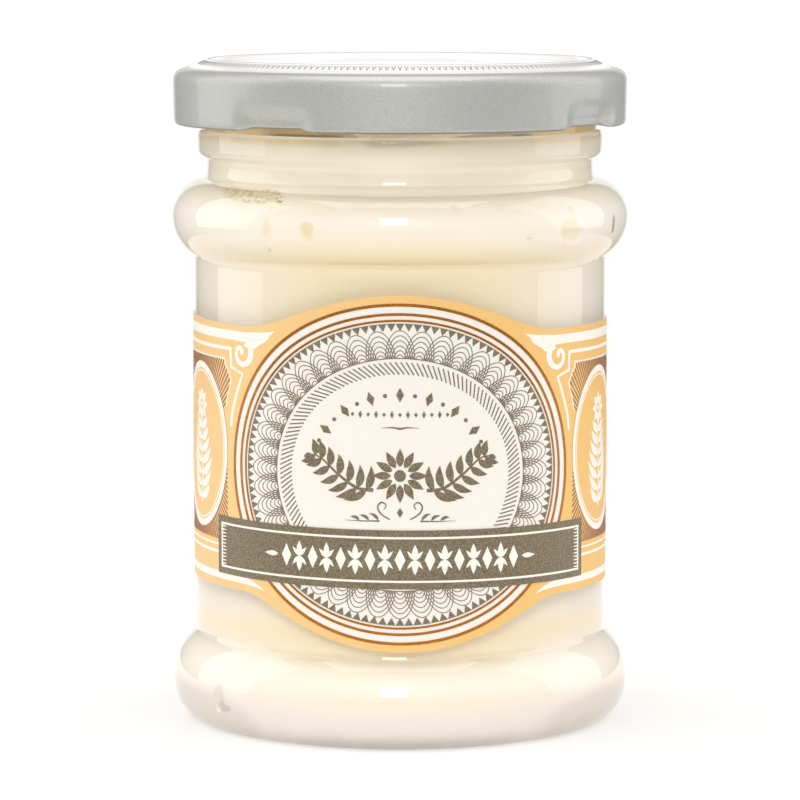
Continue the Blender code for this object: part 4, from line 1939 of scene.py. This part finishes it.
@dataclass(frozen=True)
class Softbox:
    """A soft rectangular light that faces the jar."""

    name: str
    centre: tuple[float, float, float]
    size: Point
    radiance: float

    def build(self, target: Vector) -> None:
        """Hang the light, with a power of AREA_LIGHT_POWER for each unit of radiance and area.

        Args:
            target: What it faces.
        """
        light = bpy.data.lights.new(self.name, "AREA")
        light.shape = "RECTANGLE"
        light.size, light.size_y = self.size
        light.energy = self.radiance * self.size[0] * self.size[1] * AREA_LIGHT_POWER
        holder = bpy.data.objects.new(self.name, light)
        holder.location = self.centre
        holder.rotation_euler = (target - Vector(self.centre)).to_track_quat("-Z", "Y").to_euler()
        bpy.context.scene.collection.objects.link(holder)


@dataclass
class Studio:
    """Floor, surroundings, lights and camera."""

    room: float = 0.60
    gap: float = 0.32
    gap_from: float = 0.30
    gap_full: float = 0.60
    backdrop: float = 1.02
    backdrop_from: float = 0.93
    backdrop_full: float = 0.97
    floor_radius: float = 0.26
    floor_albedo: float = 0.95
    floor_shade: float = 0.99
    floor_cloud_width: float = 0.03
    camera_distance: float = 0.690
    camera_elevation: float = 6.5
    target_z: float = 0.0517
    lens: float = 189.5
    clip: Point = (0.01, 20.0)
    softboxes: tuple[Softbox, ...] = (
        Softbox("left_softbox", (-0.62, 0.12, 0.32), (0.56, 0.8), 0.96),
        Softbox("right_softbox", (0.62, 0.12, 0.32), (0.56, 0.8), 0.84),
        Softbox("front_softbox", (-0.06, -1.10, 0.52), (0.27, 0.40), 8.0),
        Softbox("top_softbox", (0.0, 0.0, 1.05), (0.9, 0.9), 1.7),
    )

    def build_floor(self) -> None:
        """Lay the round pale floor."""
        board = Board("pale_floor")
        clouds = board.noise(self.floor_cloud_width, 2.0)
        pale = (self.floor_albedo,) * 3
        shade = (self.floor_albedo * self.floor_shade,) * 3
        board.set(Base_Color=board.mix(clouds, pale, shade), Roughness=0.8)
        rim = [on_circle(self.floor_radius, azimuth, 0.0) for azimuth in even_turn(96)]
        floor = new_piece("floor", rim, [list(range(len(rim)))], board.owner)

    def build_surroundings(self) -> None:
        """Set a soft room, a white backdrop behind the jar and a dim gap at its sides."""
        board = Board("studio", world=True)
        depth = board.axes()[1]
        behind = board.eased(depth, self.backdrop_from, self.backdrop_full)
        beside = board.eased(depth, self.gap_from, self.gap_full)
        room = self.room + (self.gap - self.room) * beside
        board.set(Color=(1.0, 1.0, 1.0),
                  Strength=room + (self.backdrop - room) * behind)
        bpy.context.scene.world = board.owner

    def build_camera(self) -> None:
        """Set the camera at the photograph's angle."""
        data = bpy.data.cameras.new("camera")
        data.lens = self.lens
        data.clip_start, data.clip_end = self.clip
        tilt = math.radians(self.camera_elevation)
        camera = bpy.data.objects.new("camera", data)
        camera.location = (0.0, -self.camera_distance * math.cos(tilt),
                           self.target_z + self.camera_distance * math.sin(tilt))
        camera.rotation_euler = (math.pi / 2.0 - tilt, 0.0, 0.0)
        bpy.context.scene.collection.objects.link(camera)
        bpy.context.scene.camera = camera

    def build(self) -> None:
        """Make the studio."""
        target = Vector((0.0, 0.0, self.target_z))
        self.build_floor()
        self.build_surroundings()
        for softbox in self.softboxes:
            softbox.build(target)
        self.build_camera()
        bpy.context.scene.view_settings.view_transform = "Standard"


def main() -> None:
    """Build the jar, what it holds, its lid and its label, then the studio."""
    logging.basicConfig(level=logging.INFO, format="%(message)s")
    jar = GlassJar()
    jar.build()
    Contents(jar).build()
    TwistOffLid().build()
    Label().build()
    Studio().build()


if __name__ == "__main__":
    main()
